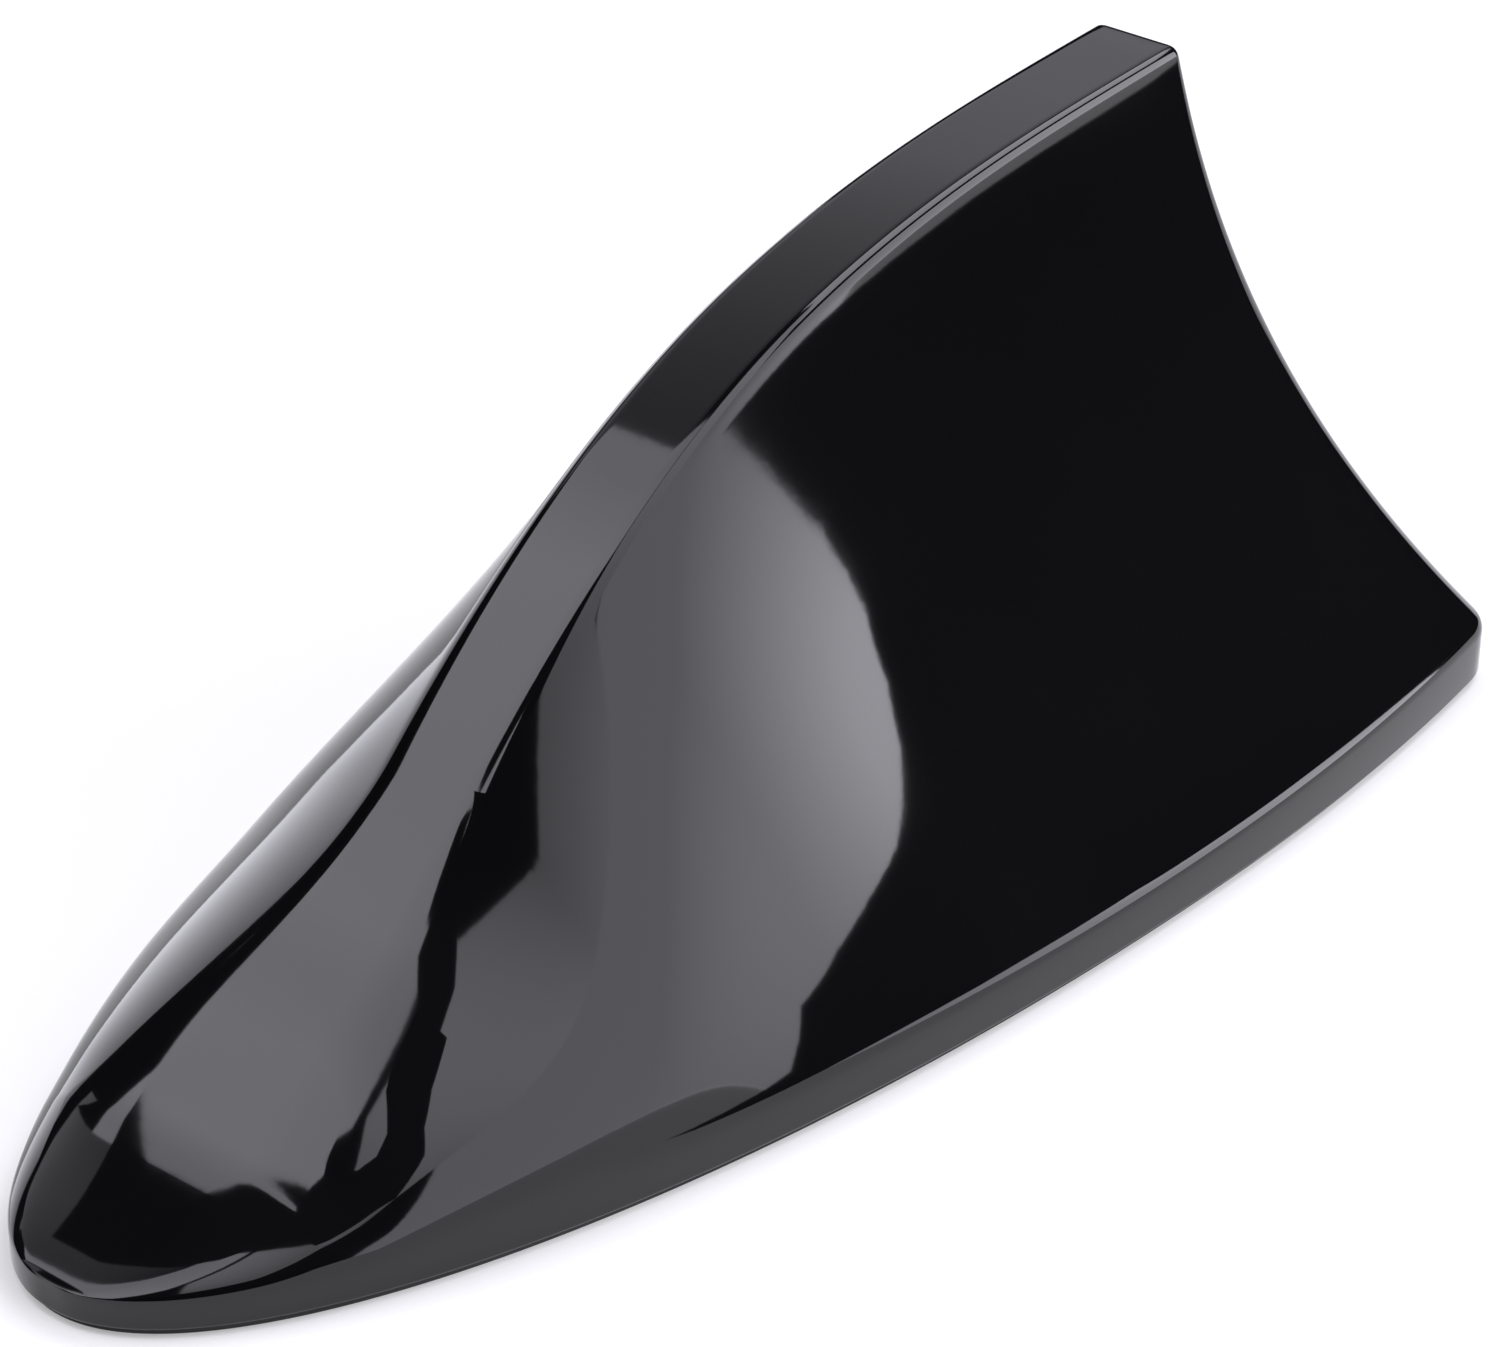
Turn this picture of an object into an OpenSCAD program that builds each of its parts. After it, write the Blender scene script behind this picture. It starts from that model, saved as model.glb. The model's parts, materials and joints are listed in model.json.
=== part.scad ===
// Shark fin roof aerial: glossy moulded fin over a base plate with its receiver parts inside.
// Millimetres. X runs from the nose to the tail, Y across the car, Z up from the roof skin.
// The origin lies on the roof skin under the middle of the length.

/* [Fin outline seen from above] */
// Length from the nose to the two tail corners
cover_length = 165; // [160:1:172]
// Distance from the nose to the widest section
widest_at = 119; // [112:1:124]
// Half of the greatest width
half_width = 35; // [33:0.5:38]
// Length of the ellipse that draws the sides behind the widest section
tail_ellipse = 100; // [92:1:120]
// Radius of the two tail corners seen from above
tail_corner = 5; // [4:0.5:7]
// How far the tail edge bows out between its corners
tail_crown = 1.5; // [0.5:0.1:3]

/* [Fin outline seen from the side] */
// Height of the lip at the nose
lip_nose = 2.6; // [2.2:0.1:3.2]
// Height of the lip at the tail
lip_tail = 5.2; // [4:0.1:6.5]
// Rise of the ridge line as it leaves the nose
nose_slope = 0.4; // [0.3:0.02:0.5]
// Distance from the nose to the brow, where the ridge starts to climb
brow_x = 20; // [18:0.5:22]
// Height of the ridge at the brow
brow_z = 10.4; // [9.8:0.1:11.4]
// Slope of the ridge at the brow
brow_slope = 0.74; // [0.66:0.02:0.8]
// Distance from the nose to the steepest place of the ridge
climb_x = 46; // [44:0.5:48]
// Height of the ridge at its steepest place
climb_z = 28.4; // [27:0.2:30]
// Slope of the ridge at its steepest place
climb_slope = 1.03; // [0.95:0.01:1.1]
// Distance from the nose to the shoulder, where the ridge turns level
shoulder_x = 90; // [86:1:94]
// Height of the ridge at the shoulder
shoulder_z = 57.5; // [55:0.5:60]
// Slope of the ridge at the shoulder
shoulder_slope = 0.32; // [0.28:0.01:0.36]
// Distance from the nose to the rear end of the ridge
crest_x = 144.5; // [141:0.5:148]
// Height of the rear end of the ridge
crest_z = 65.1; // [62:0.5:69]
// Slope of the ridge at its rear end
crest_slope = 0.06; // [0.02:0.01:0.1]
// Power of the curve that leans the sections back toward the tail
lean = 2.35; // [2:0.05:2.8]

/* [Fin edges and wall] */
// Half width of the flat ridge band
ridge_half = 4.7; // [4.4:0.1:5.6]
// Added half width of the ridge band where it spreads into the nose
ridge_flare = 11; // [8:0.5:13]
// Distance from the nose at which the ridge band starts to spread
flare_from = 46; // [42:1:50]
// Rounding of the ridge edges behind the nose
ridge_round = 1.1; // [0.8:0.1:1.5]
// Added rounding of the ridge edges as they fade into the nose
ridge_fade = 7; // [5:0.5:9]
// Rounding between the side and the lip
lip_round = 0.8; // [0.5:0.1:1.1]
// Rounding of the trailing edge at the top
crest_round = 1.6; // [1.2:0.1:2]
// Wall of the moulding
wall = 2.4; // [2:0.1:2.6]
// Thickness of the inside ribs and boss webs
rib = 1.4; // [1:0.1:2]
// Depth of the long rib under the front of the ridge
rib_depth = 5; // [3:0.5:7]

/* [Base and sealing] */
// Thickness of the rubber under the lip, and of the tape
seal_t = 0.8; // [0.6:0.1:1.2]
// Distance of the rubber's outer edge inside the lip
seal_inset = 0.7; // [0.5:0.1:1.2]
// Width of the rubber leg between the lip and the base plate
leg_w = 1.4; // [1:0.1:1.8]
// Height of the rubber leg
leg_h = 1.4; // [1:0.1:1.5]
// Clearance between parts that slip into each other
slip = 0.1; // [0.05:0.01:0.15]
// Thickness of the base plate
plate_t = 2.2; // [2:0.1:2.6]
// Distance from the nose to the front of the base plate
plate_front = 10; // [9:0.5:12]
// Width of the tape band
tape_w = 9; // [7:0.5:11]

/* [Lead exit] */
// Distance from the nose to the lead exit
exit_x = 40; // [38:0.5:44]
// Radius of the hole for the lead
lead_r = 2.5; // [2:0.1:3]
// Radius of the grommet neck in the base plate
neck_r = 5; // [4.5:0.1:6]
// Radius of the grommet flanges
flange_r = 7; // [6.5:0.1:8]
// Height of the grommet sleeve above the base plate
sleeve_h = 9; // [6:0.5:12]

/* [Circuit board] */
// Distance from the nose to the front of the board
board_x = 58; // [56:0.5:60]
// Length of the board
board_l = 72; // [70:1:74]
// Width of the board
board_w = 28; // [27:0.5:32]
// Thickness of the board
board_t = 1.6; // [1.2:0.1:2]
// Height of the standoffs under the board
standoff_h = 5; // [4:0.5:7]
// Distance of the board screws from the board's edges
screw_inset = 5; // [4.5:0.5:6]
// Thickness of the earth plate
earth_t = 0.5; // [0.4:0.1:0.8]
// Radius of the pilot holes for the small screws
pilot_r = 1.1; // [0.9:0.05:1.3]
// Length of the shield can
can_l = 20; // [16:1:22]
// Width of the strips of board beside the shield can
side_strip = 6; // [5.5:0.1:7]
// Height of the shield can
can_h = 4.5; // [4:0.5:6]
// Sheet thickness of the can, the clip and the radiator cap
sheet_t = 0.4; // [0.3:0.1:0.6]

/* [Cover screws] */
// Distance from the nose to the single front boss
boss_front_x = 25; // [24:0.5:28]
// Distance from the nose to the middle pair of bosses
boss_mid_x = 75; // [72:1:80]
// Distance of the rear pair of bosses from the tail corners
boss_tail = 23; // [21:1:27]
// Distance of the middle bosses from the widest line
boss_mid_in = 12; // [11:0.5:13]
// Distance of the rear bosses from the widest line
boss_rear_in = 15; // [14:0.5:17]
// Outer radius of a boss
boss_r = 3; // [2.6:0.1:3.5]
// Radius of the cover screws' heads
head_r = 2.6; // [2.4:0.1:2.8]
// Length of the cover screws under the head
cover_screw_l = 7; // [6:0.5:8]

/* [Aerial coil] */
// Distance from the front of the board to the axis of the coil
coil_in = 46; // [44:0.5:48]
// Radius of the spindle that carries the coil
spindle_r = 4.2; // [3.8:0.1:4.6]
// Radius of the coil wire
wire_r = 0.5; // [0.4:0.05:0.6]
// Number of turns
turns = 9; // [7:1:10]
// Height of the wound length
coil_h = 22; // [20:0.5:24]
// Thickness of the holder's foot and blade
holder_t = 2; // [1.6:0.1:2.4]

/* [Radiator cap] */
// Distance from the nose to the front of the radiator cap
cap_front = 92; // [90:1:96]
// Distance from the nose to the rear of the radiator cap
cap_rear = 132; // [128:1:134]
// Space between the cap and the wall of the cover
cap_gap = 1.6; // [1.4:0.1:1.8]
// Share of the side that the cap covers, from the ridge down
cap_reach = 0.3; // [0.2:0.02:0.4]
// Length of the foam pad on the cap
pad_l = 24; // [16:1:28]

/* [Hidden] */
$fn = 48;

// Seated clearance that keeps two faces from sharing one plane
touch = 0.05;
// How far a cutting shape runs past the face that it cuts, or a joined one into its carrier
past = 1;
// Greatest shares of the half width, and of the band itself, that the ridge band and its edge take
band_share = 0.62;
edge_share = 0.8;
// Greatest shares of the side that the roundings at its upper and its lower end take
upper_share = 0.3;
lower_share = 0.2;
// How far the side's guide point leans toward the ridge behind the middle of the length
guide_lean = 0.17;
// Smallest length that counts, where a length divides
tiny = 0.01;
// Least radii of the tail corners inside the cover, at the foot and at the crest
least_corner = 0.8;
least_crest = 0.6;
// How much lower than the lip the cavity of the cover ends at the nose
nose_roof = 1;
// Distance of the tape inside the edge of the base plate
tape_edge = 1.2;
// Rounding of the edges inside the cover
inner_round = 0.4;
// Least rise of the ridge over the lip, which keeps the nose from running flat
least_rise = 0.15;
// Space between the base plate and the webs of the bosses
web_gap = 2;
// Distance behind the steepest place of the ridge at which the long rib ends, and its steps
rib_run = 20;
rib_steps = 10;
// Depth of the sunk screw heads
head_t = 1.2;
// Depth of a pilot hole past the end of its screw
pilot_spare = 1;
// Play of the cover screws and of the small screws in the holes that they pass through
screw_play = 0.4;
small_play = 0.3;
// Width of the arms of a cross recess, and its share of the head across and down
cross_w = 0.6;
cross_share = 0.6;
// Space between the grommet's flange and the stiffening ribs on the base plate
plate_rib_gap = 2.5;
// Height of the stiffening ribs on the base plate
plate_rib_h = 3;
// Radius of the standoffs
standoff_r = 3;
// Thickness of the grommet's upper flange
flange_t = 1.3;
// Wall of the grommet's sleeve at its foot and at its tip, and the slope of its upper flange
sleeve_wall = 2;
sleeve_tip = 1;
flange_slope = 0.5;
// Distance of the earth plate's ends inside the board, and of its sides outside it
earth_in = 2;
earth_out = 2.5;
// Radius and pitch of the three holes in the earth plate
earth_hole_r = 3;
earth_pitch = 11;
// Distance from the front of the board to the earth plate's tab, and the tab's width
tab_x = 12;
tab_w = 6;
// Notch for the lead in the front of the board
notch_l = 2;
notch_r = 2;
// Heads of the small screws
small_head_r = 2.2;
small_head_h = 1.4;
// Space between the heads of the board screws and the shield can
can_back = 2;
// Radius of the vent holes in the shield can
vent_r = 0.9;
// Amplifier chip: its body and its height over the board
chip_l = 5;
chip_w = 4;
chip_h = 1.3;
chip_lift = 0.15;
// Legs of the chip: pitch, width, thickness, reach, height, and how far they enter the body
leg_pitch = 1.27;
leg_across = 0.4;
leg_t = 0.2;
leg_reach = 0.9;
leg_rise = 0.8;
leg_sink = 0.1;
// Chip capacitors: body, pitch along the can, and distance of the front ones from the middle
ceramic_l = 1.6;
ceramic_w = 0.8;
ceramic_h = 0.8;
ceramic_pitch = 4;
ceramic_front = 4.5;
// Filter capacitor: radius, height, height and depth of the groove round it, and half its width
tube_r = 2.2;
tube_h = 6.5;
groove_z = 1.1;
groove_in = 0.25;
groove_half = 0.3;
// Tuning coils: radius, height, rim of the drum, depth of the winding and slope of the rim
drum_r = 2;
drum_h = 3.6;
drum_rim = 0.6;
drum_in = 0.4;
drum_slope = 0.1;
// Terminal block for the lead's core: body, bore, clamp hole and space behind the notch
terminal_l = 5;
terminal_w = 6;
terminal_h = 4;
core_r = 1.2;
clamp_r = 0.8;
terminal_gap = 0.5;
// Radius of the pin that carries the coil's lower end
pin_r = 0.5;
// Tail of the pin under the board, its collar's added radius and height, and its play in the foot
pin_tail = 0.8;
collar = 0.4;
collar_h = 0.6;
pin_play = 0.6;
// Height of the lowest turn over the holder's foot, and slack of the wire round the spindle
coil_lift = 0.6;
coil_slack = 0.25;
// Steps in one turn of the coil and sides of its wire
turn_steps = 14;
wire_sides = 6;
// Height of the spindle over the coil, its wall and the thickness of its closed end
spindle_rise = 2;
spindle_wall = 1.4;
spindle_end = 3;
// Reach of the holder's foot in front of the coil, and its distance inside the board's edges
foot_reach = 3;
foot_in = 1;
// Space between the coil and the blade, the blade's inset at the cap's rear, its rake and its end
blade_gap = 1;
blade_in = 6;
blade_rake = 5;
blade_end = 6;
// Depth to which the blade enters the spindle
blade_sink = 0.5;
// Holes through the blade: radius, distance behind its front, height of the first and pitch
light_r = 3;
light_in = 6;
light_z = 14;
light_pitch = 13;
// Spaces left under the radiator cap by the blade and by the clip
blade_seat = 0.3;
clip_seat = 0.2;
// Space left above and below the foam pad
pad_seat = 0.15;
pad_steps = 8;
// Sections along the radiator cap
cap_sections = 12;
// Rows of points down one side of the radiator cap's skin
cap_rows = 10;
// Width and bend of the strip between the coil and the cap
clip_w = 2.4;
clip_l = 2.5;
// Width of the foam pad
pad_w = 3;
// Angle of the first section, where the nose is cut square
nose_angle = 3;
// Steps along a side, round a tail corner and across the tail face, shared by all outlines
sections = 34;
corner_steps = 4;
tail_steps = 6;
// Steps round an edge and down the side, outside and inside the cover
edge_steps = 3;
side_steps = 13;
inner_edge_steps = 1;
inner_side_steps = 7;
// Middle of the whole length, which is the origin
mid_x = (plan_x(nose_angle, 0) + cover_length + tail_crown) / 2;
// Angle of the plan curve at the tail corners, where 90 is the widest section
tail_angle = 90 + asin((cover_length - widest_at) / tail_ellipse);
// Heights of the stack, from the roof skin up
plate_top = seal_t + plate_t;
board_z = plate_top + standoff_h;
board_top = board_z + board_t;
foot_top = board_top + holder_t;
coil_z = foot_top + wire_r + coil_lift;
spindle_top = coil_z + coil_h + spindle_rise;
// Distances from the nose to the axis of the coil and to the middle of the shield can
coil_x = board_x + coil_in;
can_x = board_x + 2 * screw_inset + can_back + can_l / 2;
can_w = board_w - 2 * side_strip;
// Distances from the middle plane to the parts beside the can and to the capacitors inside it
side_y = (board_w - side_strip) / 2;
ceramic_row = (chip_w / 2 + leg_reach + can_w / 2 - sheet_t) / 2;
// Radius of the wire's centre line, clear of the spindle by the wire's slack
coil_r = spindle_r + wire_r + coil_slack;
// Wall seen along the vertical where the ridge climbs
wall_lift = 1.15;
// Share of an inset that comes off the half width of the ridge band
ridge_draw = 0.75;
// Corner of the seal and plate outlines
leg_in = wall + slip;
plate_in = leg_in + leg_w + 2 * slip;
// Places of the small screws as [x, y]
front_screws = [for (s = [-1, 1]) [board_x + screw_inset, s * (board_w / 2 - screw_inset)]];
rear_screws = [for (s = [-1, 1])
    [board_x + board_l - screw_inset, s * (board_w / 2 - screw_inset)]];
// Places of the bosses as [x, y]
bosses = [[boss_front_x, 0],
    for (s = [-1, 1]) [boss_mid_x, s * (half_width - boss_mid_in)],
    for (s = [-1, 1]) [cover_length - boss_tail, s * (half_width - boss_rear_in)]];
// Widths of the flank's guide point across and up, from the nose to the tail
flank_at = [0, 0.2, 0.4, 0.65, 1];
flank_out = [0.73, 1, 0.56, 0.29, 0.15];
flank_up = [0.71, 0.63, 0.59, 0.25, 0.42];

// Cubic that joins two heights with two slopes over one span
function span(t, z0, z1, m0, m1, w) = (2 * t ^ 3 - 3 * t ^ 2 + 1) * z0
    + (t ^ 3 - 2 * t ^ 2 + t) * w * m0 + (3 * t ^ 2 - 2 * t ^ 3) * z1 + (t ^ 3 - t ^ 2) * w * m1;
function span_at(x, x0, x1, z0, z1, m0, m1) = span((x - x0) / (x1 - x0), z0, z1, m0, m1, x1 - x0);

// Height of the ridge above the lip's foot at a distance from the nose
function ridge_z(x) =
    x < brow_x ? span_at(x, 0, brow_x, lip_nose, brow_z, nose_slope, brow_slope)
    : x < climb_x ? span_at(x, brow_x, climb_x, brow_z, climb_z, brow_slope, climb_slope)
    : x < shoulder_x
        ? span_at(x, climb_x, shoulder_x, climb_z, shoulder_z, climb_slope, shoulder_slope)
    : span_at(x, shoulder_x, crest_x, shoulder_z, crest_z, shoulder_slope, crest_slope);

// Smooth curve through one value at each of the flank stations
function station(k) = let (n = len(flank_at) - 1) max(0, min(n - 1, k));
function slope_of(v, k) = let (n = len(flank_at) - 1, a = max(0, k - 1), b = min(n, k + 1))
    (v[b] - v[a]) / (flank_at[b] - flank_at[a]);
function along(v, q) =
    let (k = station(len([for (a = flank_at) if (a <= q) a]) - 1))
    span_at(min(q, 1), flank_at[k], flank_at[k + 1], v[k], v[k + 1], slope_of(v, k),
        slope_of(v, k + 1));

// Plan curve at an angle: a half ellipse for the nose and a longer one for the tail, set in by d
function plan_x(a, d) = a < 90 ? d + (widest_at - d) * (1 - cos(a))
    : widest_at + tail_ellipse * (cover_length - d - widest_at) / (cover_length - widest_at)
        * sin(a - 90);
function plan_y(a, d) = (half_width - d) * sin(a);

// Distance of the ridge edge from the middle plane
function ridge_y(x, a, d) = let (f = max(0, (flare_from - x) / flare_from))
    min(ridge_half + ridge_flare * f ^ 1.5 - ridge_draw * d, band_share * plan_y(a, d));
function ridge_edge(x) = let (f = max(0, (flare_from - x) / flare_from))
    ridge_round + ridge_fade * f ^ 2;

// Point on the curve that a guide point draws between two ends
function bow(p, c, q, s) = (1 - s) * (1 - s) * p + 2 * s * (1 - s) * c + s * s * q;

// Half of one cross section, from the middle of the ridge out and down to the foot at z0.
// The flank is one bow, and short bows round its two ends. d sets the whole section in.
function half_section(a, d, z0, edge_n, flank_n) =
    let (q = plan_x(a, 0) / cover_length,
        xb = plan_x(a, d), b = plan_y(a, d),
        xr = plan_x(a, 0) - (cover_length - crest_x) * q ^ lean + d * (1 - 2 * q),
        lip = lip_nose + (lip_tail - lip_nose) * sqrt(q),
        h = seal_t + (d == 0 ? ridge_z(xr)
            : max(ridge_z(xr) - wall_lift * d, min(lip - d / 2, lip_nose - nose_roof))),
        t = seal_t + (d == 0 ? lip : max(lip - d / 2, lip_nose - nose_roof)),
        top = max(h, t + least_rise),
        r = ridge_y(xr, a, d),
        p = [xr, r, top], e = [xb, b, t],
        g = [xr + (xb - xr) * (0.5 - guide_lean * max(0, 2 * q - 1)),
            r + (b - r) * along(flank_out, q), t + (top - t) * along(flank_up, q)],
        er = min(d == 0 ? ridge_edge(xr) : inner_round, edge_share * r),
        el = d == 0 ? lip_round : inner_round / 2,
        s1 = min(upper_share, er / (2 * norm(g - p) + tiny)),
        s2 = 1 - min(lower_share, el / (2 * norm(g - e) + tiny)),
        p1 = bow(p, g, e, s1), e1 = bow(p, g, e, s2))
    concat([for (k = [0 : edge_n]) bow(p - [0, er, 0], p, p1, k / edge_n)],
        [for (k = [1 : flank_n]) bow(p, g, e, s1 + (s2 - s1) * k / flank_n)],
        [for (k = [1 : edge_n]) bow(e1, e, e - [0, 0, el], k / edge_n)],
        [[xb, b, z0]]);

// Radius of the tail corner set in by d, and the plan angle at which it starts
function corner_r(d) = max(least_corner, tail_corner - d);
function corner_angle(d) = let (x1 = plan_x(tail_angle, d))
    90 + asin((x1 - corner_r(d) - widest_at) / (x1 - widest_at) * sin(tail_angle - 90));
// Angles of the sections from the nose to the start of the tail corner
function angles(d) =
    [for (k = [0 : sections]) nose_angle + (corner_angle(d) - nose_angle) * k / sections];

// One turn of the tail corner, from 0 to 1: each point runs from the side, round the point where
// the side and the tail face would meet, into the tail face. The radius shrinks to the crest's.
function corner_section(side, edge, turn, d) =
    [for (j = [0 : len(edge) - 1]) let (e = edge[j], low = max(0, 1 - e[2] / edge[0][2]),
        c = max(least_crest, crest_round - d / 2) * (1 - low) + corner_r(d) * low,
        from_side = e + (side[j] - e) * c / corner_r(d),
        across = min(1, e[1] / ridge_half), down = max(0, 1 - (edge[0][2] - e[2]) / (2 * c)))
        bow(from_side, e, e - [0, c * across, c * down], turn)];

// Every half section of a skin from the nose to the tail
function half_sections(d, z0, edge_n, flank_n) =
    let (side = half_section(corner_angle(d), d, z0, edge_n, flank_n),
        edge = half_section(tail_angle, d, z0, edge_n, flank_n), a = angles(d))
    concat([for (k = [0 : sections - 1]) half_section(a[k], d, z0, edge_n, flank_n)],
        [for (k = [0 : corner_steps]) corner_section(side, edge, k / corner_steps, d)]);

// Bow of the tail face at a step across it, level with the sides where it meets them
function crown(k) = tail_crown * (1 - (2 * k / tail_steps - 1) ^ 2) ^ 2;

// A half section with its mirror image: foot, over the ridge, to the other foot
function whole(h) =
    concat([for (k = [len(h) - 1 : -1 : 0]) [h[k][0], -h[k][1], h[k][2]]], h);

// Closed solid through a row of sections, with a flat nose and a bowed tail face
module fin_solid(halves) {
    cols = tail_steps;
    rings = [for (h = halves) whole(h)];
    n = len(rings);
    m = len(rings[0]);
    top = m / 2 - 1;
    last = rings[n - 1];
    skin = [for (r = rings) each r];
    bow_points = [for (j = [0 : top - 1]) for (k = [1 : cols - 1])
        last[j] + (last[m - 1 - j] - last[j]) * k / cols
            + [crown(k) * (1 - last[j][2] / crest_z), 0, 0]];
    function id(i, j) = i * m + j;
    function tail(j, k) = k == 0 ? id(n - 1, j) : k == cols ? id(n - 1, m - 1 - j)
        : n * m + j * (cols - 1) + k - 1;
    sides = [for (i = [0 : n - 2]) for (j = [0 : m - 2])
        each [[id(i, j), id(i + 1, j + 1), id(i + 1, j)], [id(i, j), id(i, j + 1), id(i + 1, j + 1)]]];
    nose = [for (j = [0 : top - 1]) each [[id(0, j), id(0, m - 2 - j), id(0, j + 1)],
        [id(0, j), id(0, m - 1 - j), id(0, m - 2 - j)]]];
    rear = [for (j = [0 : top - 2]) for (k = [0 : cols - 1])
        each [[tail(j, k), tail(j + 1, k + 1), tail(j, k + 1)],
            [tail(j, k), tail(j + 1, k), tail(j + 1, k + 1)]]];
    crest = concat([[tail(top - 1, cols / 2), id(n - 1, top), id(n - 1, top + 1)]],
        [for (k = [0 : cols - 1])
            [tail(top - 1, k), id(n - 1, k < cols / 2 ? top : top + 1), tail(top - 1, k + 1)]]);
    foot = [for (i = [0 : n - 2]) [id(i, 0), id(i + 1, 0), id(i + 1, m - 1), id(i, m - 1)]];
    heel = [[for (k = [0 : cols]) tail(0, k)]];
    polyhedron(concat(skin, bow_points), concat(sides, nose, rear, crest, foot, heel),
        convexity = 8);
}

// Plan outline of the fin set in by d
function plan_at(a, d) = [plan_x(a, d), plan_y(a, d)];
function plan_half_points(d) = let (e = plan_at(tail_angle, d), a = angles(d))
    concat([for (k = [0 : sections - 1]) plan_at(a[k], d)],
        [for (k = [0 : corner_steps])
            bow(plan_at(a[sections], d), e, e - [0, corner_r(d)], k / corner_steps)]);
module plan(d) {
    p = plan_half_points(d);
    tip = p[len(p) - 1];
    polygon(concat(p,
        [for (k = [1 : tail_steps - 1]) [tip[0] + crown(k), tip[1] * (1 - 2 * k / tail_steps)]],
        [for (k = [len(p) - 1 : -1 : 0]) [p[k][0], -p[k][1]]]));
}
module plan_from(d, x0) {
    intersection() {
        plan(d);
        translate([x0, -half_width]) square([cover_length, 2 * half_width]);
    }
}

// Even steps from one value to another
function line_of(x0, x1, n) = [for (k = [0 : n]) x0 + (x1 - x0) * k / n];

// Moves a piece drawn from the nose so that the origin is under the middle
module from_nose() {
    translate([-mid_x, 0, 0]) children();
}
module at(places) {
    for (p = places) translate([p[0], p[1], 0]) children();
}
module post(r, z0, z1) {
    translate([0, 0, z0]) cylinder(r = r, h = z1 - z0);
}

// Fin cover
module cover_outside() {
    fin_solid(half_sections(0, seal_t, edge_steps, side_steps));
}
module cover_inside() {
    fin_solid(half_sections(wall, seal_t - past, inner_edge_steps, inner_side_steps));
}
// Screw bosses with a web out to the side, and the long rib under the front of the ridge
module cover_ribs() {
    at(bosses) post(boss_r, plate_top + touch, crest_z);
    for (p = bosses) {
        if (p[1] != 0) {
            s = sign(p[1]);
            translate([p[0] - rib / 2, s > 0 ? p[1] : p[1] - half_width / 2, plate_top + web_gap])
                cube([rib, half_width / 2, crest_z]);
        }
    }
    line = line_of(boss_front_x, climb_x + rib_run, rib_steps);
    translate([0, rib / 2, 0]) rotate([90, 0, 0]) linear_extrude(rib)
        polygon(concat([for (x = line) [x, seal_t + ridge_z(x) - wall * wall_lift - rib_depth]],
            [for (k = [rib_steps : -1 : 0]) [line[k], seal_t + ridge_z(line[k]) - wall / 2]]));
}
module cover() {
    color("#0b0b0c") from_nose() difference() {
        cover_outside();
        difference() {
            cover_inside();
            cover_ribs();
        }
        at(bosses) post(pilot_r, seal_t, seal_t + head_t + cover_screw_l + pilot_spare);
    }
}

// Rubber under the lip, with a leg that fills the gap between the lip and the base plate
module ring(d0, d1, z0, z1) {
    translate([0, 0, z0]) linear_extrude(z1 - z0) difference() {
        plan(d0);
        plan(d1);
    }
}
module edge_seal() {
    color("#141414") from_nose() {
        ring(seal_inset, leg_in + leg_w, 0, seal_t);
        ring(leg_in, leg_in + leg_w, seal_t, seal_t + leg_h);
    }
}

// Double sided foam tape that holds the base plate to the roof
module adhesive_tape() {
    color("#3a3d40") from_nose() linear_extrude(seal_t) difference() {
        plan_from(plate_in + tape_edge, plate_front + tape_edge);
        plan_from(plate_in + tape_edge + tape_w, plate_front + tape_edge + tape_w);
    }
}

// Base plate with standoffs for the board, two stiffening ribs and sunk screw holes
module base_plate() {
    color("#1b1c1e") from_nose() difference() {
        union() {
            translate([0, 0, seal_t]) linear_extrude(plate_t) plan_from(plate_in, plate_front);
            at(concat(front_screws, rear_screws)) post(standoff_r, plate_top - past, board_z);
            for (s = [-1, 1])
                translate([boss_front_x, s * (flange_r + plate_rib_gap) - rib / 2, plate_top - past])
                    cube([board_x - boss_front_x, rib, past + plate_rib_h]);
        }
        at([[exit_x, 0]]) post(neck_r + slip, 0, plate_top + past);
        at(bosses) {
            post(pilot_r + screw_play, 0, plate_top + past);
            post(head_r + slip, 0, seal_t + head_t);
        }
        at(concat(front_screws, rear_screws)) post(pilot_r, plate_top, board_z + past);
    }
}

// Pan head screw pointing up, with a cross recess in its head
module screw(r, head_r, head_h, l) {
    difference() {
        union() {
            cylinder(r = head_r, h = head_h);
            cylinder(r = r, h = head_h + l);
        }
        for (t = [0, 90]) rotate(t) translate([-head_r * cross_share, -cross_w / 2, -past])
            cube([2 * head_r * cross_share, cross_w, past + head_h * cross_share]);
    }
}
module cover_screws() {
    color("#b9bcc0") from_nose() at(bosses) translate([0, 0, seal_t + touch])
        screw(pilot_r - touch, head_r, head_t - 2 * touch, cover_screw_l);
}

// Rubber grommet for the lead: a neck between two flanges and a sleeve above
module lead_grommet() {
    sleeve_r = lead_r + sleeve_wall;
    top_z = plate_top + sleeve_h;
    flange_z = plate_top + flange_t;
    color("#1a1a1a") from_nose() translate([exit_x, 0, 0]) rotate_extrude()
        polygon([[lead_r, 0], [flange_r, 0], [flange_r, seal_t - touch], [neck_r, seal_t - touch],
            [neck_r, plate_top + touch], [flange_r, plate_top + touch], [flange_r, flange_z],
            [sleeve_r, flange_z + flange_slope], [lead_r + sleeve_tip, top_z], [lead_r, top_z]]);
}

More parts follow.
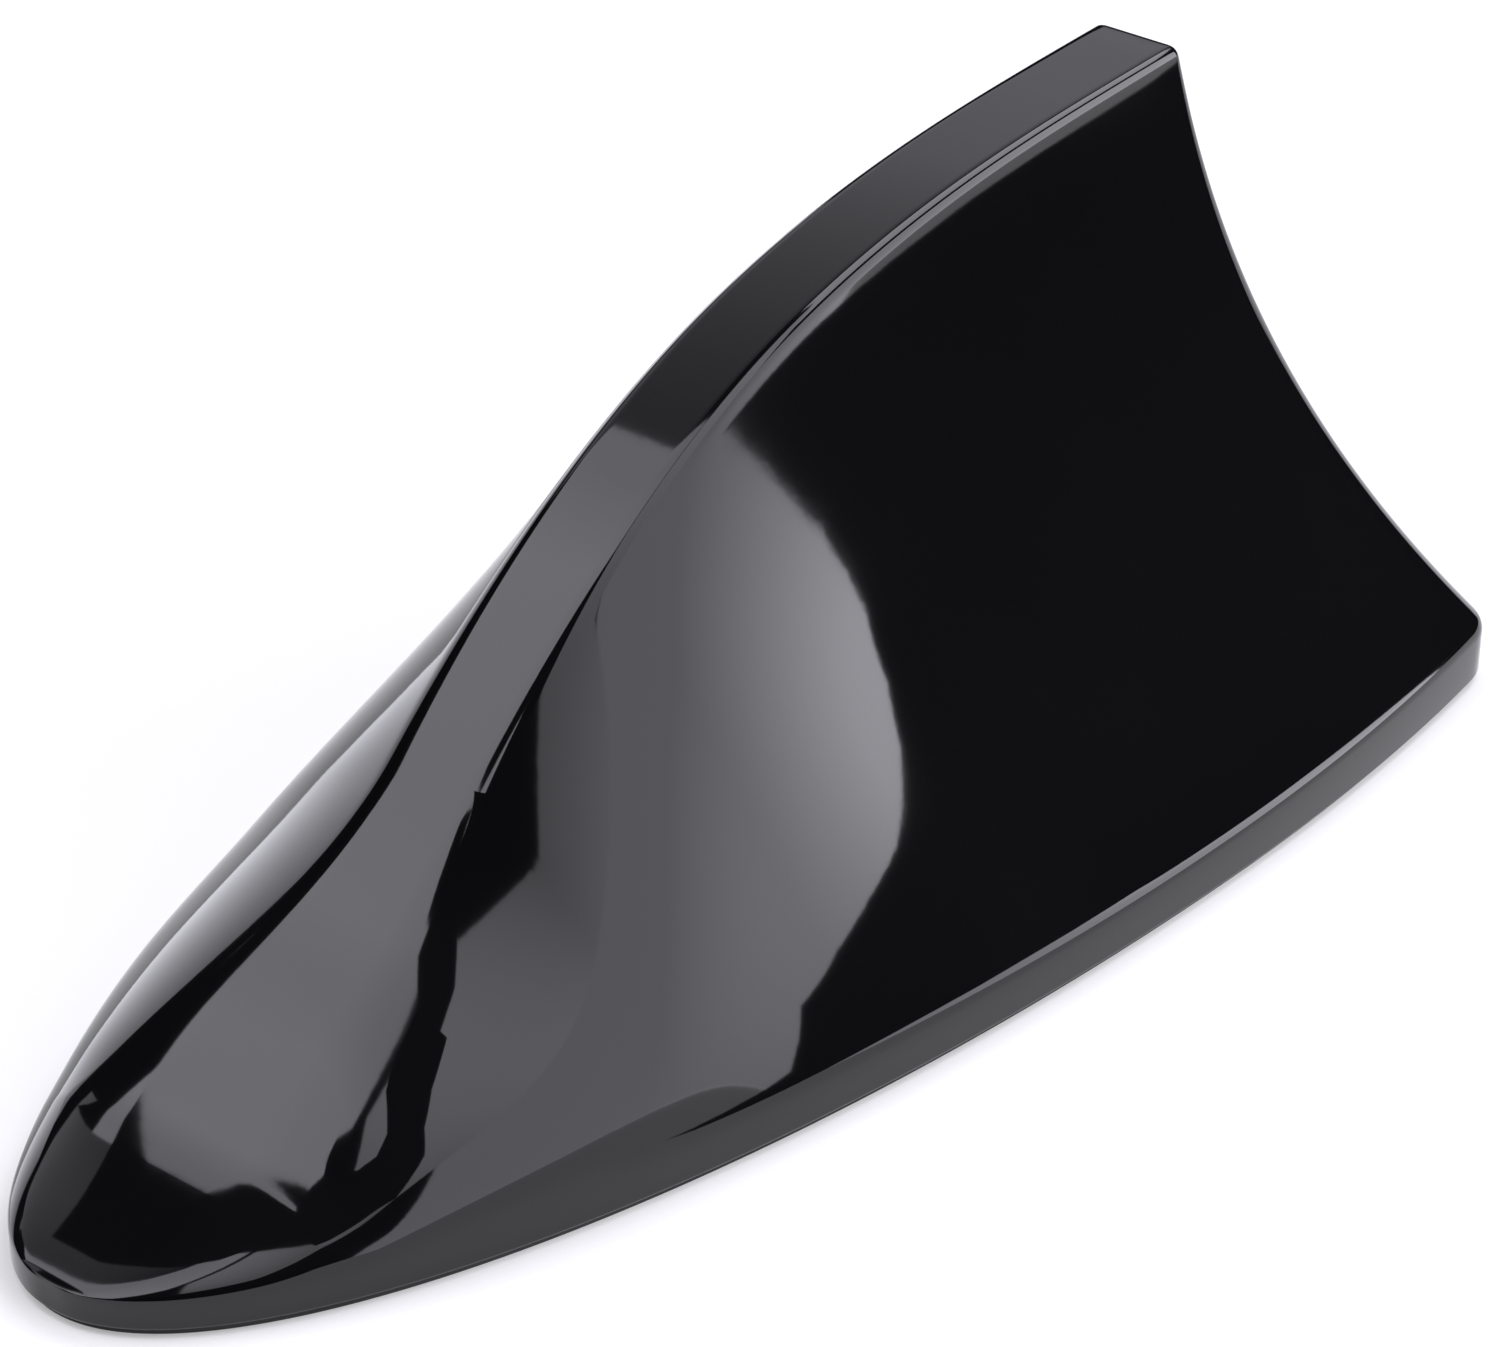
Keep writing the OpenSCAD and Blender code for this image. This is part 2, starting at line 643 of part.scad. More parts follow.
// Tinned steel sheet on the base plate, with a tab up to the board
module earth_plate() {
    z = plate_top + touch;
    color("#c9c9c4") from_nose() {
        difference() {
            translate([board_x + earth_in, -board_w / 2 - earth_out, z])
                cube([board_l - 2 * earth_in, board_w + 2 * earth_out, earth_t]);
            at(concat(front_screws, rear_screws)) post(standoff_r + slip, 0, board_z);
            at([for (k = [-1 : 1]) [board_x + board_l / 2 + k * earth_pitch, 0]])
                post(earth_hole_r, 0, board_z);
        }
        translate([board_x + tab_x, -tab_w / 2, z]) cube([earth_t, tab_w, board_z - touch - z]);
    }
}

// Circuit board with a notch in front for the lead and a hole for the coil pin
module circuit_board() {
    color("#1d5a36") from_nose() difference() {
        translate([board_x, -board_w / 2, board_z]) cube([board_l, board_w, board_t]);
        translate([board_x - past, -notch_r, board_z - past])
            cube([past + notch_l, 2 * notch_r, board_t + 2 * past]);
        at([[board_x + notch_l, 0]]) post(notch_r, board_z - past, board_top + past);
        at(concat(front_screws, rear_screws))
            post(pilot_r + small_play, board_z - past, board_top + past);
        at([[coil_x - coil_r, 0]]) post(pin_r + slip, board_z - past, board_top + past);
    }
}

// Small screws from above into the standoffs, bearing on a face at the given height
module small_screws(places, z) {
    l = z - plate_top - pilot_spare;
    at(places) translate([0, 0, z + touch + small_head_h]) mirror([0, 0, 1])
        screw(pilot_r - touch, small_head_r, small_head_h, l);
}
module board_screws() {
    color("#c4c6c8") from_nose() small_screws(front_screws, board_top);
}
module holder_screws() {
    color("#c4c6c8") from_nose() small_screws(rear_screws, foot_top + touch);
}

// Folded shield can over the amplifier, with vent holes in its top
module shield_can() {
    z = board_top + touch;
    color("#d2d2ce") from_nose() difference() {
        translate([can_x - can_l / 2, -can_w / 2, z]) cube([can_l, can_w, can_h]);
        translate([can_x - can_l / 2 + sheet_t, -can_w / 2 + sheet_t, z - past])
            cube([can_l - 2 * sheet_t, can_w - 2 * sheet_t, can_h + past - sheet_t]);
        at([for (i = [-1 : 1]) for (j = [-1, 1]) [can_x + i * can_l / 4, j * can_w / 5]])
            post(vent_r, z, z + can_h + past);
    }
}

// Amplifier chip with a row of bent legs on each side
module amplifier_chip() {
    color("#202224") from_nose() translate([can_x, 0, board_top + touch]) {
        translate([-chip_l / 2, -chip_w / 2, chip_lift]) cube([chip_l, chip_w, chip_h]);
        for (i = [-1.5 : 1 : 1.5]) for (s = [0, 1]) mirror([0, s, 0])
            translate([i * leg_pitch - leg_across / 2, chip_w / 2 - leg_sink, 0]) {
                cube([leg_across, leg_across, leg_rise]);
                cube([leg_across, leg_sink + leg_reach, leg_t]);
            }
    }
}

// Chip capacitors in two rows beside the amplifier chip and one row in front of the can
module ceramic(x, y) {
    translate([x - ceramic_l / 2, y - ceramic_w / 2, board_top + touch])
        cube([ceramic_l, ceramic_w, ceramic_h]);
}
module chip_capacitors() {
    front_x = can_x - can_l / 2 - can_back;
    color("#b59a72") from_nose() for (s = [-1, 1]) {
        for (i = [-1 : 1]) ceramic(can_x + i * ceramic_pitch, s * ceramic_row);
        ceramic(front_x, s * ceramic_front);
    }
}

// Round filter capacitor with a groove rolled in over its foot
module filter_capacitor() {
    color("#2a3550") from_nose() translate([can_x, -side_y, board_top + touch]) rotate_extrude()
        polygon([[0, 0], [tube_r, 0], [tube_r, groove_z - groove_half],
            [tube_r - groove_in, groove_z], [tube_r, groove_z + groove_half],
            [tube_r, tube_h - groove_half], [tube_r - groove_half, tube_h], [0, tube_h]]);
}

// Drum cores wound with fine wire
module tuning_coils() {
    neck = drum_r - drum_in;
    low = drum_rim + drum_slope;
    color("#7a3f22") from_nose() for (s = [-1, 1])
        translate([can_x + s * can_l / 4, side_y, board_top + touch]) rotate_extrude()
            polygon([[0, 0], [drum_r, 0], [drum_r, drum_rim], [neck, low], [neck, drum_h - low],
                [drum_r, drum_h - drum_rim], [drum_r, drum_h], [0, drum_h]]);
}

// Brass block that takes the core of the lead
module lead_terminal() {
    front_x = board_x + notch_l + notch_r + terminal_gap;
    color("#b8934a") from_nose() translate([front_x, 0, board_top + touch]) difference() {
        translate([0, -terminal_w / 2, 0]) cube([terminal_l, terminal_w, terminal_h]);
        translate([-past, 0, terminal_h / 2]) rotate([0, 90, 0])
            cylinder(r = core_r, h = terminal_l + 2 * past);
        translate([terminal_l / 2, 0, 0]) post(clamp_r, terminal_h / 2, terminal_h + past);
    }
}

// Height of the underside of the radiator cap at a distance from the nose
function cap_inner_z(x) = seal_t + ridge_z(x) - wall_lift * (wall + cap_gap + sheet_t);

// Moulded holder: a foot on the board, a cored spindle for the coil and a blade for the cap
module coil_holder() {
    arm_x = coil_x - spindle_r + blade_sink;
    back_x = coil_x + coil_r + wire_r + blade_gap;
    rear_x = cap_rear - blade_in;
    foot_x = coil_x - coil_r - foot_reach;
    low = board_top + past;
    neck = spindle_top - blade_sink;
    color("#e4e0d2") from_nose() difference() {
        union() {
            translate([foot_x, -board_w / 2 + foot_in, board_top + touch])
                cube([board_x + board_l - foot_in - foot_x, board_w - 2 * foot_in, holder_t]);
            at([[coil_x, 0]]) post(spindle_r, board_top + touch, spindle_top);
            translate([0, holder_t / 2, 0]) rotate([90, 0, 0]) linear_extrude(holder_t)
                polygon(concat([[back_x, low], [back_x, neck], [arm_x, neck]],
                    [for (x = line_of(arm_x, rear_x, rib_steps)) [x, cap_inner_z(x) - blade_seat]],
                    [[rear_x, spindle_top + blade_end], [rear_x - blade_rake, low]]));
        }
        at([[coil_x, 0]])
            post(spindle_r - spindle_wall, board_top - past, spindle_top - spindle_end);
        at(rear_screws) post(pilot_r + small_play, board_top - past, foot_top + past);
        at([[coil_x - coil_r, 0]]) post(pin_r + pin_play, board_top - past, foot_top + past);
        for (k = [0, 1])
            translate([back_x + light_in, holder_t, foot_top + light_z + light_pitch * k])
                rotate([90, 0, 0]) cylinder(r = light_r, h = 2 * holder_t);
    }
}

// Closed solid through a row of closed rings, each one an outer path and an inner path back
module sheet_solid(rings) {
    n = len(rings);
    m = len(rings[0]);
    function id(i, j) = i * m + j % m;
    sides = [for (i = [0 : n - 2]) for (j = [0 : m - 1])
        each [[id(i, j), id(i + 1, j + 1), id(i + 1, j)], [id(i, j), id(i, j + 1), id(i + 1, j + 1)]]];
    ends = [for (j = [0 : m / 2 - 2])
        each [[id(0, j), id(0, m - 1 - j), id(0, j + 1)],
            [id(0, j + 1), id(0, m - 1 - j), id(0, m - 2 - j)],
            [id(n - 1, j), id(n - 1, j + 1), id(n - 1, m - 1 - j)],
            [id(n - 1, j + 1), id(n - 1, m - 2 - j), id(n - 1, m - 1 - j)]]];
    polyhedron([for (r = rings) each r], concat(sides, ends), convexity = 8);
}

// Copper coil: a round wire, drawn with a few sides, carried up a helix
module helical_coil() {
    last = turn_steps * turns;
    color("#c07a3c") from_nose() sheet_solid([for (k = [0 : last])
        let (t = 180 + 360 * k / turn_steps, z = coil_z + coil_h * k / last)
        [for (j = [0 : wire_sides - 1])
            let (w = 360 * (j + 0.5) / wire_sides, r = coil_r + wire_r * cos(w))
            [coil_x + r * cos(t), r * sin(t), z + wire_r * sin(w)]]]);
}

// Brass pin from the board up to the lower end of the coil
module coil_pin() {
    color("#c9a552") from_nose() at([[coil_x - coil_r, 0]]) {
        post(pin_r, board_z - pin_tail, coil_z - wire_r);
        post(pin_r + collar, board_top + touch, board_top + collar_h);
    }
}

// Plan angle of the section whose ridge lies at a distance from the nose
function angle_at(x) = let (px = x + (cover_length - crest_x) * (x / crest_x) ^ lean)
    px < widest_at ? acos(1 - px / widest_at) : 90 + asin((px - widest_at) / tail_ellipse);

// Path over the ridge down to a share of both sides, on the skin set in by d
function cap_path(a, d) =
    let (h = half_section(a, d, seal_t - past, 1, cap_rows), n = 2 + floor(cap_rows * cap_reach))
    concat([for (k = [n : -1 : 0]) [h[k][0], -h[k][1], h[k][2]]], [for (k = [0 : n]) h[k]]);
module radiator_cap() {
    a0 = angle_at(cap_front);
    a1 = angle_at(cap_rear);
    outer_d = wall + cap_gap;
    color("#cfd0cc") from_nose() sheet_solid([for (a = line_of(a0, a1, cap_sections))
        let (o = cap_path(a, outer_d), i = cap_path(a, outer_d + sheet_t))
        concat(o, [for (j = [len(i) - 1 : -1 : 0]) i[j]])]);
}

// Spring strip from the upper end of the coil to the radiator cap
module cap_clip() {
    x = coil_x - coil_r;
    z0 = coil_z + coil_h + wire_r + touch;
    z1 = cap_inner_z(x - clip_l) - clip_seat;
    color("#c8a25a") from_nose() translate([0, -clip_w / 2, 0]) {
        translate([x - clip_l, 0, z0]) cube([clip_l + wire_r, clip_w, sheet_t]);
        translate([x - clip_l, 0, z0]) cube([sheet_t, clip_w, z1 - z0]);
        translate([x - clip_l, 0, z1 - sheet_t]) cube([clip_l, clip_w, sheet_t]);
    }
}

// Foam pad that keeps the radiator cap from rattling under the ridge
module foam_pad() {
    x0 = (cap_front + cap_rear - pad_l) / 2;
    line = line_of(x0, x0 + pad_l, pad_steps);
    under = seal_t - wall_lift * (wall + cap_gap) + pad_seat;
    over = seal_t - wall_lift * wall - pad_seat;
    color("#4a4c50") from_nose() translate([0, pad_w / 2, 0]) rotate([90, 0, 0])
        linear_extrude(pad_w) polygon(concat([for (x = line) [x, ridge_z(x) + under]],
            [for (k = [pad_steps : -1 : 0]) [line[k], ridge_z(line[k]) + over]]));
}

cover();
edge_seal();
adhesive_tape();
base_plate();
cover_screws();
lead_grommet();
earth_plate();
circuit_board();
board_screws();
holder_screws();
shield_can();
amplifier_chip();
chip_capacitors();
filter_capacitor();
tuning_coils();
lead_terminal();
coil_holder();
helical_coil();
coil_pin();
radiator_cap();
cap_clip();
foam_pad();
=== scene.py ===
"""Looks of a shark fin roof aerial, built round its packed model. Metres, in the model's own frame:
X runs from the nose to the tail, Y across, Z up from the roof skin."""

import json
import math
import bmesh
import bpy
import numpy as np
from bpy.props import FloatProperty, FloatVectorProperty, IntProperty, PointerProperty
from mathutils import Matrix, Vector


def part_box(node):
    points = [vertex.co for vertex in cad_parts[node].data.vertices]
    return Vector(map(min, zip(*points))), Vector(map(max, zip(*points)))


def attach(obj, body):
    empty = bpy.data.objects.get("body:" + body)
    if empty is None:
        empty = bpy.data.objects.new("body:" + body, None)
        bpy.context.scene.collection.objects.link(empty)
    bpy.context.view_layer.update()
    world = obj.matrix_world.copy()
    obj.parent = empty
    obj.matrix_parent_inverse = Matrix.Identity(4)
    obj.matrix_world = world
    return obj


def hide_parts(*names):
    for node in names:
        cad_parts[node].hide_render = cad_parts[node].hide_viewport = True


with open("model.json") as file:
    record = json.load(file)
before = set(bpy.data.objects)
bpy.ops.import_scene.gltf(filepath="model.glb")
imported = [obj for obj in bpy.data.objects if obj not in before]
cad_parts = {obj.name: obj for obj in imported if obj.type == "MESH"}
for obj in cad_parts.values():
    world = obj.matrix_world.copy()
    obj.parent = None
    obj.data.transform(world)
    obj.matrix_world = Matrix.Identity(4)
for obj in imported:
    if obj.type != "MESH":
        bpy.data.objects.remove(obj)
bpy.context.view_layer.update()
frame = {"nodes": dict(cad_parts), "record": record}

bl_info = {
    "name": "Shark Fin Aerial",
    "version": (1, 0, 0),
    "blender": (4, 5, 0),
    "location": "3D View > Sidebar > Aerial",
    "description": "Dresses a car's roof aerial: glossy cover, seal, base, receiver board and coil",
    "category": "Object",
}

MM = 0.001

# Distance at which points merge, steepest bend that is shaded smooth, the play of seated pieces, and
# a length that keeps divisions from zero
WELD = 0.001 * MM
SHARP = math.radians(32)
SEATED = 0.05 * MM
NEARLY_NONE = 0.01 * MM

# Fixed shares, least sizes and steps of the cover's sections and of the seal
WALL_LIFT = 1.15
RIDGE_DRAW = 0.75
NOSE_START = math.radians(0.4)
NOSE_SPARE = 1 * MM
RIDGE_SHARE = 0.62
ROUND_SHARE = 0.8
FLARE_POWER = 1.5
EDGE_REACH = 0.3
LIP_REACH = 0.2
GUIDE_LEAN = 0.17
LEAST_RISE = 0.15 * MM
LEAST_CREST = 0.6 * MM
LEAST_CORNER = 0.8 * MM
LEAST_WEB = 0.2 * MM
INNER_ROUND = 0.4 * MM
INNER_EDGE_STEPS = 2
INNER_FLANK_STEPS = 24
FOOT_STEPS = 4
OUTLINE_STEPS = 720
SEAL_ROUND = 0.2 * MM
SEAL_BEVEL = 0.3

# Bosses, webs and rib under the cover, and how the inner skin is looked up over them
BOSS_STEPS = 48
WEB_STEPS = 24
WEB_WINDOW = 1.5 * MM
RIB_STEPS = 40
NEAR_POINTS = 4

# Screw heads, their cross recess and the thread, whose steps are counted to one turn
SCREW_STEPS = 96
FACE_STEPS = 18
RIM_STEPS = 5
HEAD_ROUND = 0.25 * MM
CROSS_HALF = 0.3 * MM
CROSS_SHARE = 0.6
CROSS_SLOPE = 0.15 * MM
THREAD_DEPTH = 0.22 * MM
THREAD_PITCH = 0.9 * MM
THREAD_CREST = 1.6
THREAD_STEPS = 9
LEAST_STEPS = 24
TIP_SHARE = 0.12

# Coil, pad and small parts of the board
COIL_STEPS = 48
WIRE_STEPS = 16
PAD_ROUND = 0.8 * MM
PAD_POWER = 0.5
PAD_STEPS = 60
PAD_ROUND_STEPS = 40
CAN_PLACE = (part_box("shield_can")[0].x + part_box("shield_can")[1].x) / 2
CHIP_HALF = 2.02 * MM
CERAMIC_PITCH = 4 * MM
CERAMIC_BODY = 0.55 * MM
STRIPE_AWAY = 1.6 * MM
SLEEVE_LIP = 0.1 * MM
DRUM_RIM = 0.65 * MM
FINE_WIRE = 0.12 * MM

# Patterns of the finishes
BOARD_CELLS = 330.0
DRAWN_DEPTH = 0.002 * MM
DRIFT_GAIN = 4.0
NOISE_RANGE = (0.3, 0.7)
WORN_BEND = (0.98, 0.8)
SMEAR = 0.03
DUST_ROUGH = 0.4
DUST_TONE = (0.10, 0.10, 0.105)

# Stations along the cover, as shares of its length, and the place of the flank's guide point there
FLANK_AT = np.array([0.0, 0.2, 0.4, 0.65, 1.0])
FLANK_OUT = np.array([0.73, 1.0, 0.56, 0.29, 0.15])
FLANK_UP = np.array([0.71, 0.63, 0.59, 0.25, 0.42])

# Camera, floor and room: film width in millimetres, near and far clip, sizes in metres, and greys
SENSOR = 36.0
CLIP = (0.01, 20.0)
FLOOR_SIZE = 3.4
FLOOR_SHADE = 0.6
FLOOR_LIFT = 0.31
FLAG_SHADE = 0.004
ROOM_HEIGHT = 1.7
# Lamps, in metres: name, place, aim, width, height, then the brightness at one place and at
# another, and both places
LAMPS = [
    ("side_softbox", (0.43, -0.65, 0.375), (0.43, 0.0, 0.375), 1.32, 0.75,
     2.2, 5.1, (0.16, -0.65, 0.375), (0.80, -0.65, 0.375)),
    ("top_right_softbox", (-0.13, -0.34, 0.75), (-0.13, -0.34, 0.0), 0.66, 0.62,
     1.4, 3.0, (-0.40, -0.45, 0.75), (0.08, -0.33, 0.75)),
    ("top_left_softbox", (-0.40, 0.38, 0.75), (-0.40, 0.38, 0.0), 0.70, 0.76,
     3.3, 2.5, (-0.28, 0.38, 0.75), (-0.12, 0.38, 0.75)),
    ("ceiling_glow", (0.60, 0.75, 0.75), (0.60, 0.75, 0.0), 1.30, 0.90,
     0.12, 0.93, (-0.05, 0.30, 0.75), (0.371, 0.908, 0.75)),
    ("top_rear_softbox", (0.50, -0.07, 0.75), (0.50, -0.07, 0.0), 0.60, 0.55,
     4.0, 4.0, (0.2, 0.0, 0.75), (0.8, 0.0, 0.75)),
    ("back_softbox", (0.15, 1.20, 0.26), (0.15, 0.0, 0.26), 1.5, 0.50,
     4.0, 1.2, (0.15, 1.20, 0.01), (0.15, 1.20, 0.51)),
]
# Black flags that the camera doesn't see, in millimetres: name, whether only reflections see it,
# the Y or else the Z of the plane that it lies in, and its outline there
FLAGS = [
    ("flank_flag", True, -45, None, [
        (11, 62.3), (20, 59.6), (30, 57), (40, 54.6), (50, 52.8), (60, 51.7), (80, 50.8), (130, 49.5),
        (130, 15), (90, 18), (75, 21), (60, 26), (52, 26), (40, 22), (20, 14), (5, 9.5), (-10, 6.5),
        (-33, 1), (-24, 5), (-18, 7.5), (-15, 10.5), (-12, 14), (-4, 18), (6, 21.5), (18, 25),
        (28, 28.5), (36, 31.5), (42, 35), (43.5, 39), (41.5, 42), (37, 46), (31, 50), (24, 54.5)]),
    ("slot_flag", True, None, 30, [
        (-34, -4), (-45, -6), (-50, -7.5), (-53, -11), (-57, -15), (-60, -18.5), (-61, -24), (-57, -19),
        (-53, -15), (-49.5, -13), (-47, -10), (-43, -8.5), (-34, -9)]),
    ("nose_flag", True, None, 21, [
        (-77.3, 17), (-77.3, 10), (-76, 5), (-75.3, 0), (-74.8, -5), (-74.5, -10), (-74, -16),
        (-74, -25), (-66, -29), (-60, -24), (-58, -20), (-55, -17), (-51, -14.5), (-51, -10.5),
        (-55, -11.5), (-58, -13), (-61, -16.5), (-63.5, -17.5), (-66, -16.5), (-67.5, -14), (-68, -12),
        (-69, -10), (-69.3, -6), (-69.5, -2), (-69.8, 3), (-69.8, 12), (-69, 17)]),
    ("wedge_flag", False, None, 740, [
        (-240, -30), (-360, -43), (-425, -50), (-471, -85), (-525, -130), (-545, -190), (-503, -250),
        (-478, -285), (-467, -310), (-455, -262), (-500, -100), (-530, 76), (-566, 275), (-611, 312),
        (-648, 267), (-660, 153), (-540, 34), (-435, -24), (-360, -26)]),
]


def number(name, description, default, **more):
    """A plain number."""
    return FloatProperty(name=name, description=description, default=default, **more)


def count(name, description, default):
    """A whole number of steps."""
    return IntProperty(name=name, description=description, default=default, min=1)


def length(name, description, millimetres):
    """A size given in millimetres, kept in metres and shown in the scene's own unit."""
    return number(name, description, millimetres * MM, min=0.0, max=1.0, precision=5,
                  subtype="DISTANCE", unit="LENGTH")


def angle(name, description, degrees):
    """An angle given in degrees."""
    return number(name, description, math.radians(degrees), subtype="ANGLE", unit="ROTATION")


def tint(name, description, default):
    """A linear colour."""
    return FloatVectorProperty(name=name, description=description, default=default, size=3, min=0.0,
                               max=1.0, subtype="COLOR")


class AerialCoverSettings(bpy.types.PropertyGroup):
    """Outline of the fin, which repeats the model's driving sizes."""

    cover_length: length("Length", "From the nose to the two tail corners", 165)
    widest_at: length("Widest at", "From the nose to the widest section", 119)
    half_width: length("Half width", "Half of the greatest width", 35)
    tail_ellipse: length("Tail ellipse", "Length of the ellipse behind the widest section", 100)
    tail_corner: length("Tail corner", "Radius of the tail corners seen from above", 5)
    tail_crown: length("Tail crown", "How far the tail bows out between its corners", 1.5)
    lip_nose: length("Lip at the nose", "Height of the lip at the nose", 2.6)
    lip_tail: length("Lip at the tail", "Height of the lip at the tail", 5.2)
    nose_slope: number("Nose slope", "Rise of the ridge at the nose", 0.4)
    brow_x: length("Brow", "From the nose to the brow", 20)
    brow_z: length("Brow height", "Height of the ridge at the brow", 10.4)
    brow_slope: number("Brow slope", "Slope of the ridge there", 0.74)
    climb_x: length("Climb", "From the nose to the steepest place", 46)
    climb_z: length("Climb height", "Height of the ridge at the steepest place", 28.4)
    climb_slope: number("Climb slope", "Slope of the ridge there", 1.03)
    shoulder_x: length("Shoulder", "From the nose to the shoulder", 90)
    shoulder_z: length("Shoulder height", "Height of the ridge at the shoulder", 57.5)
    shoulder_slope: number("Shoulder slope", "Slope of the ridge there", 0.32)
    crest_x: length("Crest", "From the nose to the rear end of the ridge", 144.5)
    crest_z: length("Crest height", "Height of the rear end of the ridge", 65.1)
    crest_slope: number("Crest slope", "Slope of the ridge there", 0.06)
    lean: number("Lean", "Power that leans the sections back", 2.35)
    ridge_half: length("Ridge half width", "Half width of the flat ridge band", 4.7)
    ridge_flare: length("Ridge flare", "Added half width where the band spreads", 11)
    flare_from: length("Flare from", "From the nose where the band spreads", 46)
    ridge_round: length("Ridge rounding", "Rounding of the ridge edges", 1.1)
    ridge_fade: length("Ridge fade", "Added rounding as the edges fade into the nose", 7)
    lip_round: length("Lip rounding", "Rounding between the side and the lip", 0.8)
    crest_round: length("Crest rounding", "Rounding of the trailing edge at the top", 1.6)
    foot_round: length("Foot rounding", "Rounding of the lip's lower edge", 0.35)
    wall: length("Wall", "Wall of the moulding", 2.4)
    nose_angle: angle("Nose angle", "Angle of the model's first section", 3)
    sections: count("Sections", "Sections along the side", 220)
    edge_steps: count("Edge steps", "Steps round an edge", 8)
    flank_steps: count("Flank steps", "Steps down the side", 64)
    corner_steps: count("Corner steps", "Steps round a tail corner", 12)
    tail_steps: count("Tail steps", "Steps across the tail", 36)


class AerialBaseSettings(bpy.types.PropertyGroup):
    """Sizes of the base, the seal, the bosses and the screws, which repeat the model's."""

    seal: length("Seal", "Thickness of the seal and the tape under the base", 0.8)
    seal_inset: length("Seal inset", "Distance of the seal's edge inside the cover's", 0.7)
    leg_width: length("Seal leg width", "Width of the seal's leg beside the base plate", 1.4)
    leg_height: length("Seal leg height", "Height of the seal's leg over its foot", 1.4)
    slip: length("Slip", "Clearance between pieces that are pushed together", 0.1)
    plate: length("Plate", "Thickness of the base plate", 2.2)
    boss_front: length("Front boss", "From the nose to the front boss", 25)
    boss_middle: length("Middle bosses", "From the nose to the middle bosses", 75)
    boss_tail: length("Rear bosses", "Distance of the rear bosses in front of the tail corners", 23)
    boss_middle_in: length("Middle inset", "Distance of the middle bosses inside the half width", 12)
    boss_rear_in: length("Rear inset", "Distance of the rear bosses inside the half width", 15)
    boss_radius: length("Boss radius", "Outer radius of the bosses", 3)
    boss_bite: length("Boss bite", "How far bosses and webs run into the wall", 0.8)
    pilot_radius: length("Pilot radius", "Radius of the pilot holes", 1.1)
    pilot_spare: length("Pilot spare", "Depth of a pilot hole past its screw", 1)
    rib_width: length("Rib", "Thickness of the webs and the long rib", 1.4)
    rib_depth: length("Rib depth", "Depth of the long rib under the ridge", 5)
    rib_run: length("Rib run", "Length of the long rib behind the steepest place", 20)
    web_gap: length("Web gap", "Space between the base plate and the webs", 2)
    screw_length: length("Screw", "Length of a cover screw under its head", 7)
    head_radius: length("Head", "Radius of the cover screws' heads", 2.6)
    head_depth: length("Head depth", "Depth of the sunk heads", 1.2)
    small_head_radius: length("Small head", "Radius of the small screws' heads", 2.2)
    small_head_height: length("Small head height", "Height of the small screws' heads", 1.4)
    board_front: length("Board", "From the nose to the circuit board", 58)
    board_length: length("Board length", "Length of the circuit board", 72)
    screw_inset: length("Screw inset", "Distance of the screws inside the board's corners", 5)
    holder_foot: length("Holder foot", "Thickness of the coil holder's foot", 2)


class AerialCoilSettings(bpy.types.PropertyGroup):
    """Sizes of the coil, the radiator cap and the foam pad."""

    coil_radius: length("Coil radius", "Radius of the wire's centre line", 4.95)
    wire_radius: length("Wire radius", "Radius of the wire", 0.5)
    wire_low: length("Wire low", "Height of the first turn's centre over the coil's lowest point",
                     0.5)
    coil_height: length("Coil height", "Rise of the wire from end to end", 22)
    turns: number("Turns", "Turns of the coil", 9.0, min=1.0)
    pin_reach: length("Pin reach", "From the pin's collar edge to its axis", 0.9)
    cap_front: length("Cap front", "From the nose to the radiator cap", 92)
    cap_rear: length("Cap rear", "From the nose to the cap's rear end", 132)
    cap_gap: length("Cap gap", "Space between the cover's wall and the cap", 1.6)
    pad_length: length("Pad length", "Length of the foam pad", 24)
    pad_width: length("Pad width", "Width of the foam pad", 3)
    pad_seat: length("Pad seat", "Space left above and below the pad", 0.15)


class AerialFinishSettings(bpy.types.PropertyGroup):
    """Finish of the glossy cover."""

    cover_tone: tint("Cover", "Colour of the glossy moulding", (0.0032, 0.0032, 0.0035))
    gloss_rough: number("Gloss", "Least roughness of the polished skin", 0.045, min=0.0, max=1.0)
    ripple_scale: number("Ripple scale", "Ripples to a metre", 95.0)
    ripple_depth: length("Ripple depth", "Height of the ripple in the moulded skin", 0.014)
    dust_scale: number("Dust", "Cells of the dust pattern to a metre", 150.0)


class AerialStageSettings(bpy.types.PropertyGroup):
    """Camera of the photograph and the lamps."""

    lens: number("Lens", "Focal length on a 36 mm sensor", 121.4)
    camera_place: FloatVectorProperty(name="Camera place", description="Place of the camera",
                                      default=(-0.2980, -0.2555, 0.24947), size=3, unit="LENGTH",
                                      subtype="TRANSLATION")
    azimuth: angle("Azimuth", "Turn of the view", -49.82)
    elevation: angle("Elevation", "Height of the view", 29.914)
    lamp_tint: tint("Lamp tint", "Colour of all the lamps", (0.925, 0.92, 1.0))
    lamp_gain: number("Lamp gain", "Makes up for the tint", 1.06)


def joining_cubic(x, x0, x1, z0, z1, m0, m1):
    """Cubic over one span that meets two heights with two slopes."""
    w = x1 - x0
    t = (x - x0) / w
    return ((2 * t**3 - 3 * t**2 + 1) * z0 + (t**3 - 2 * t**2 + t) * w * m0
            + (3 * t**2 - 2 * t**3) * z1 + (t**3 - t**2) * w * m1)


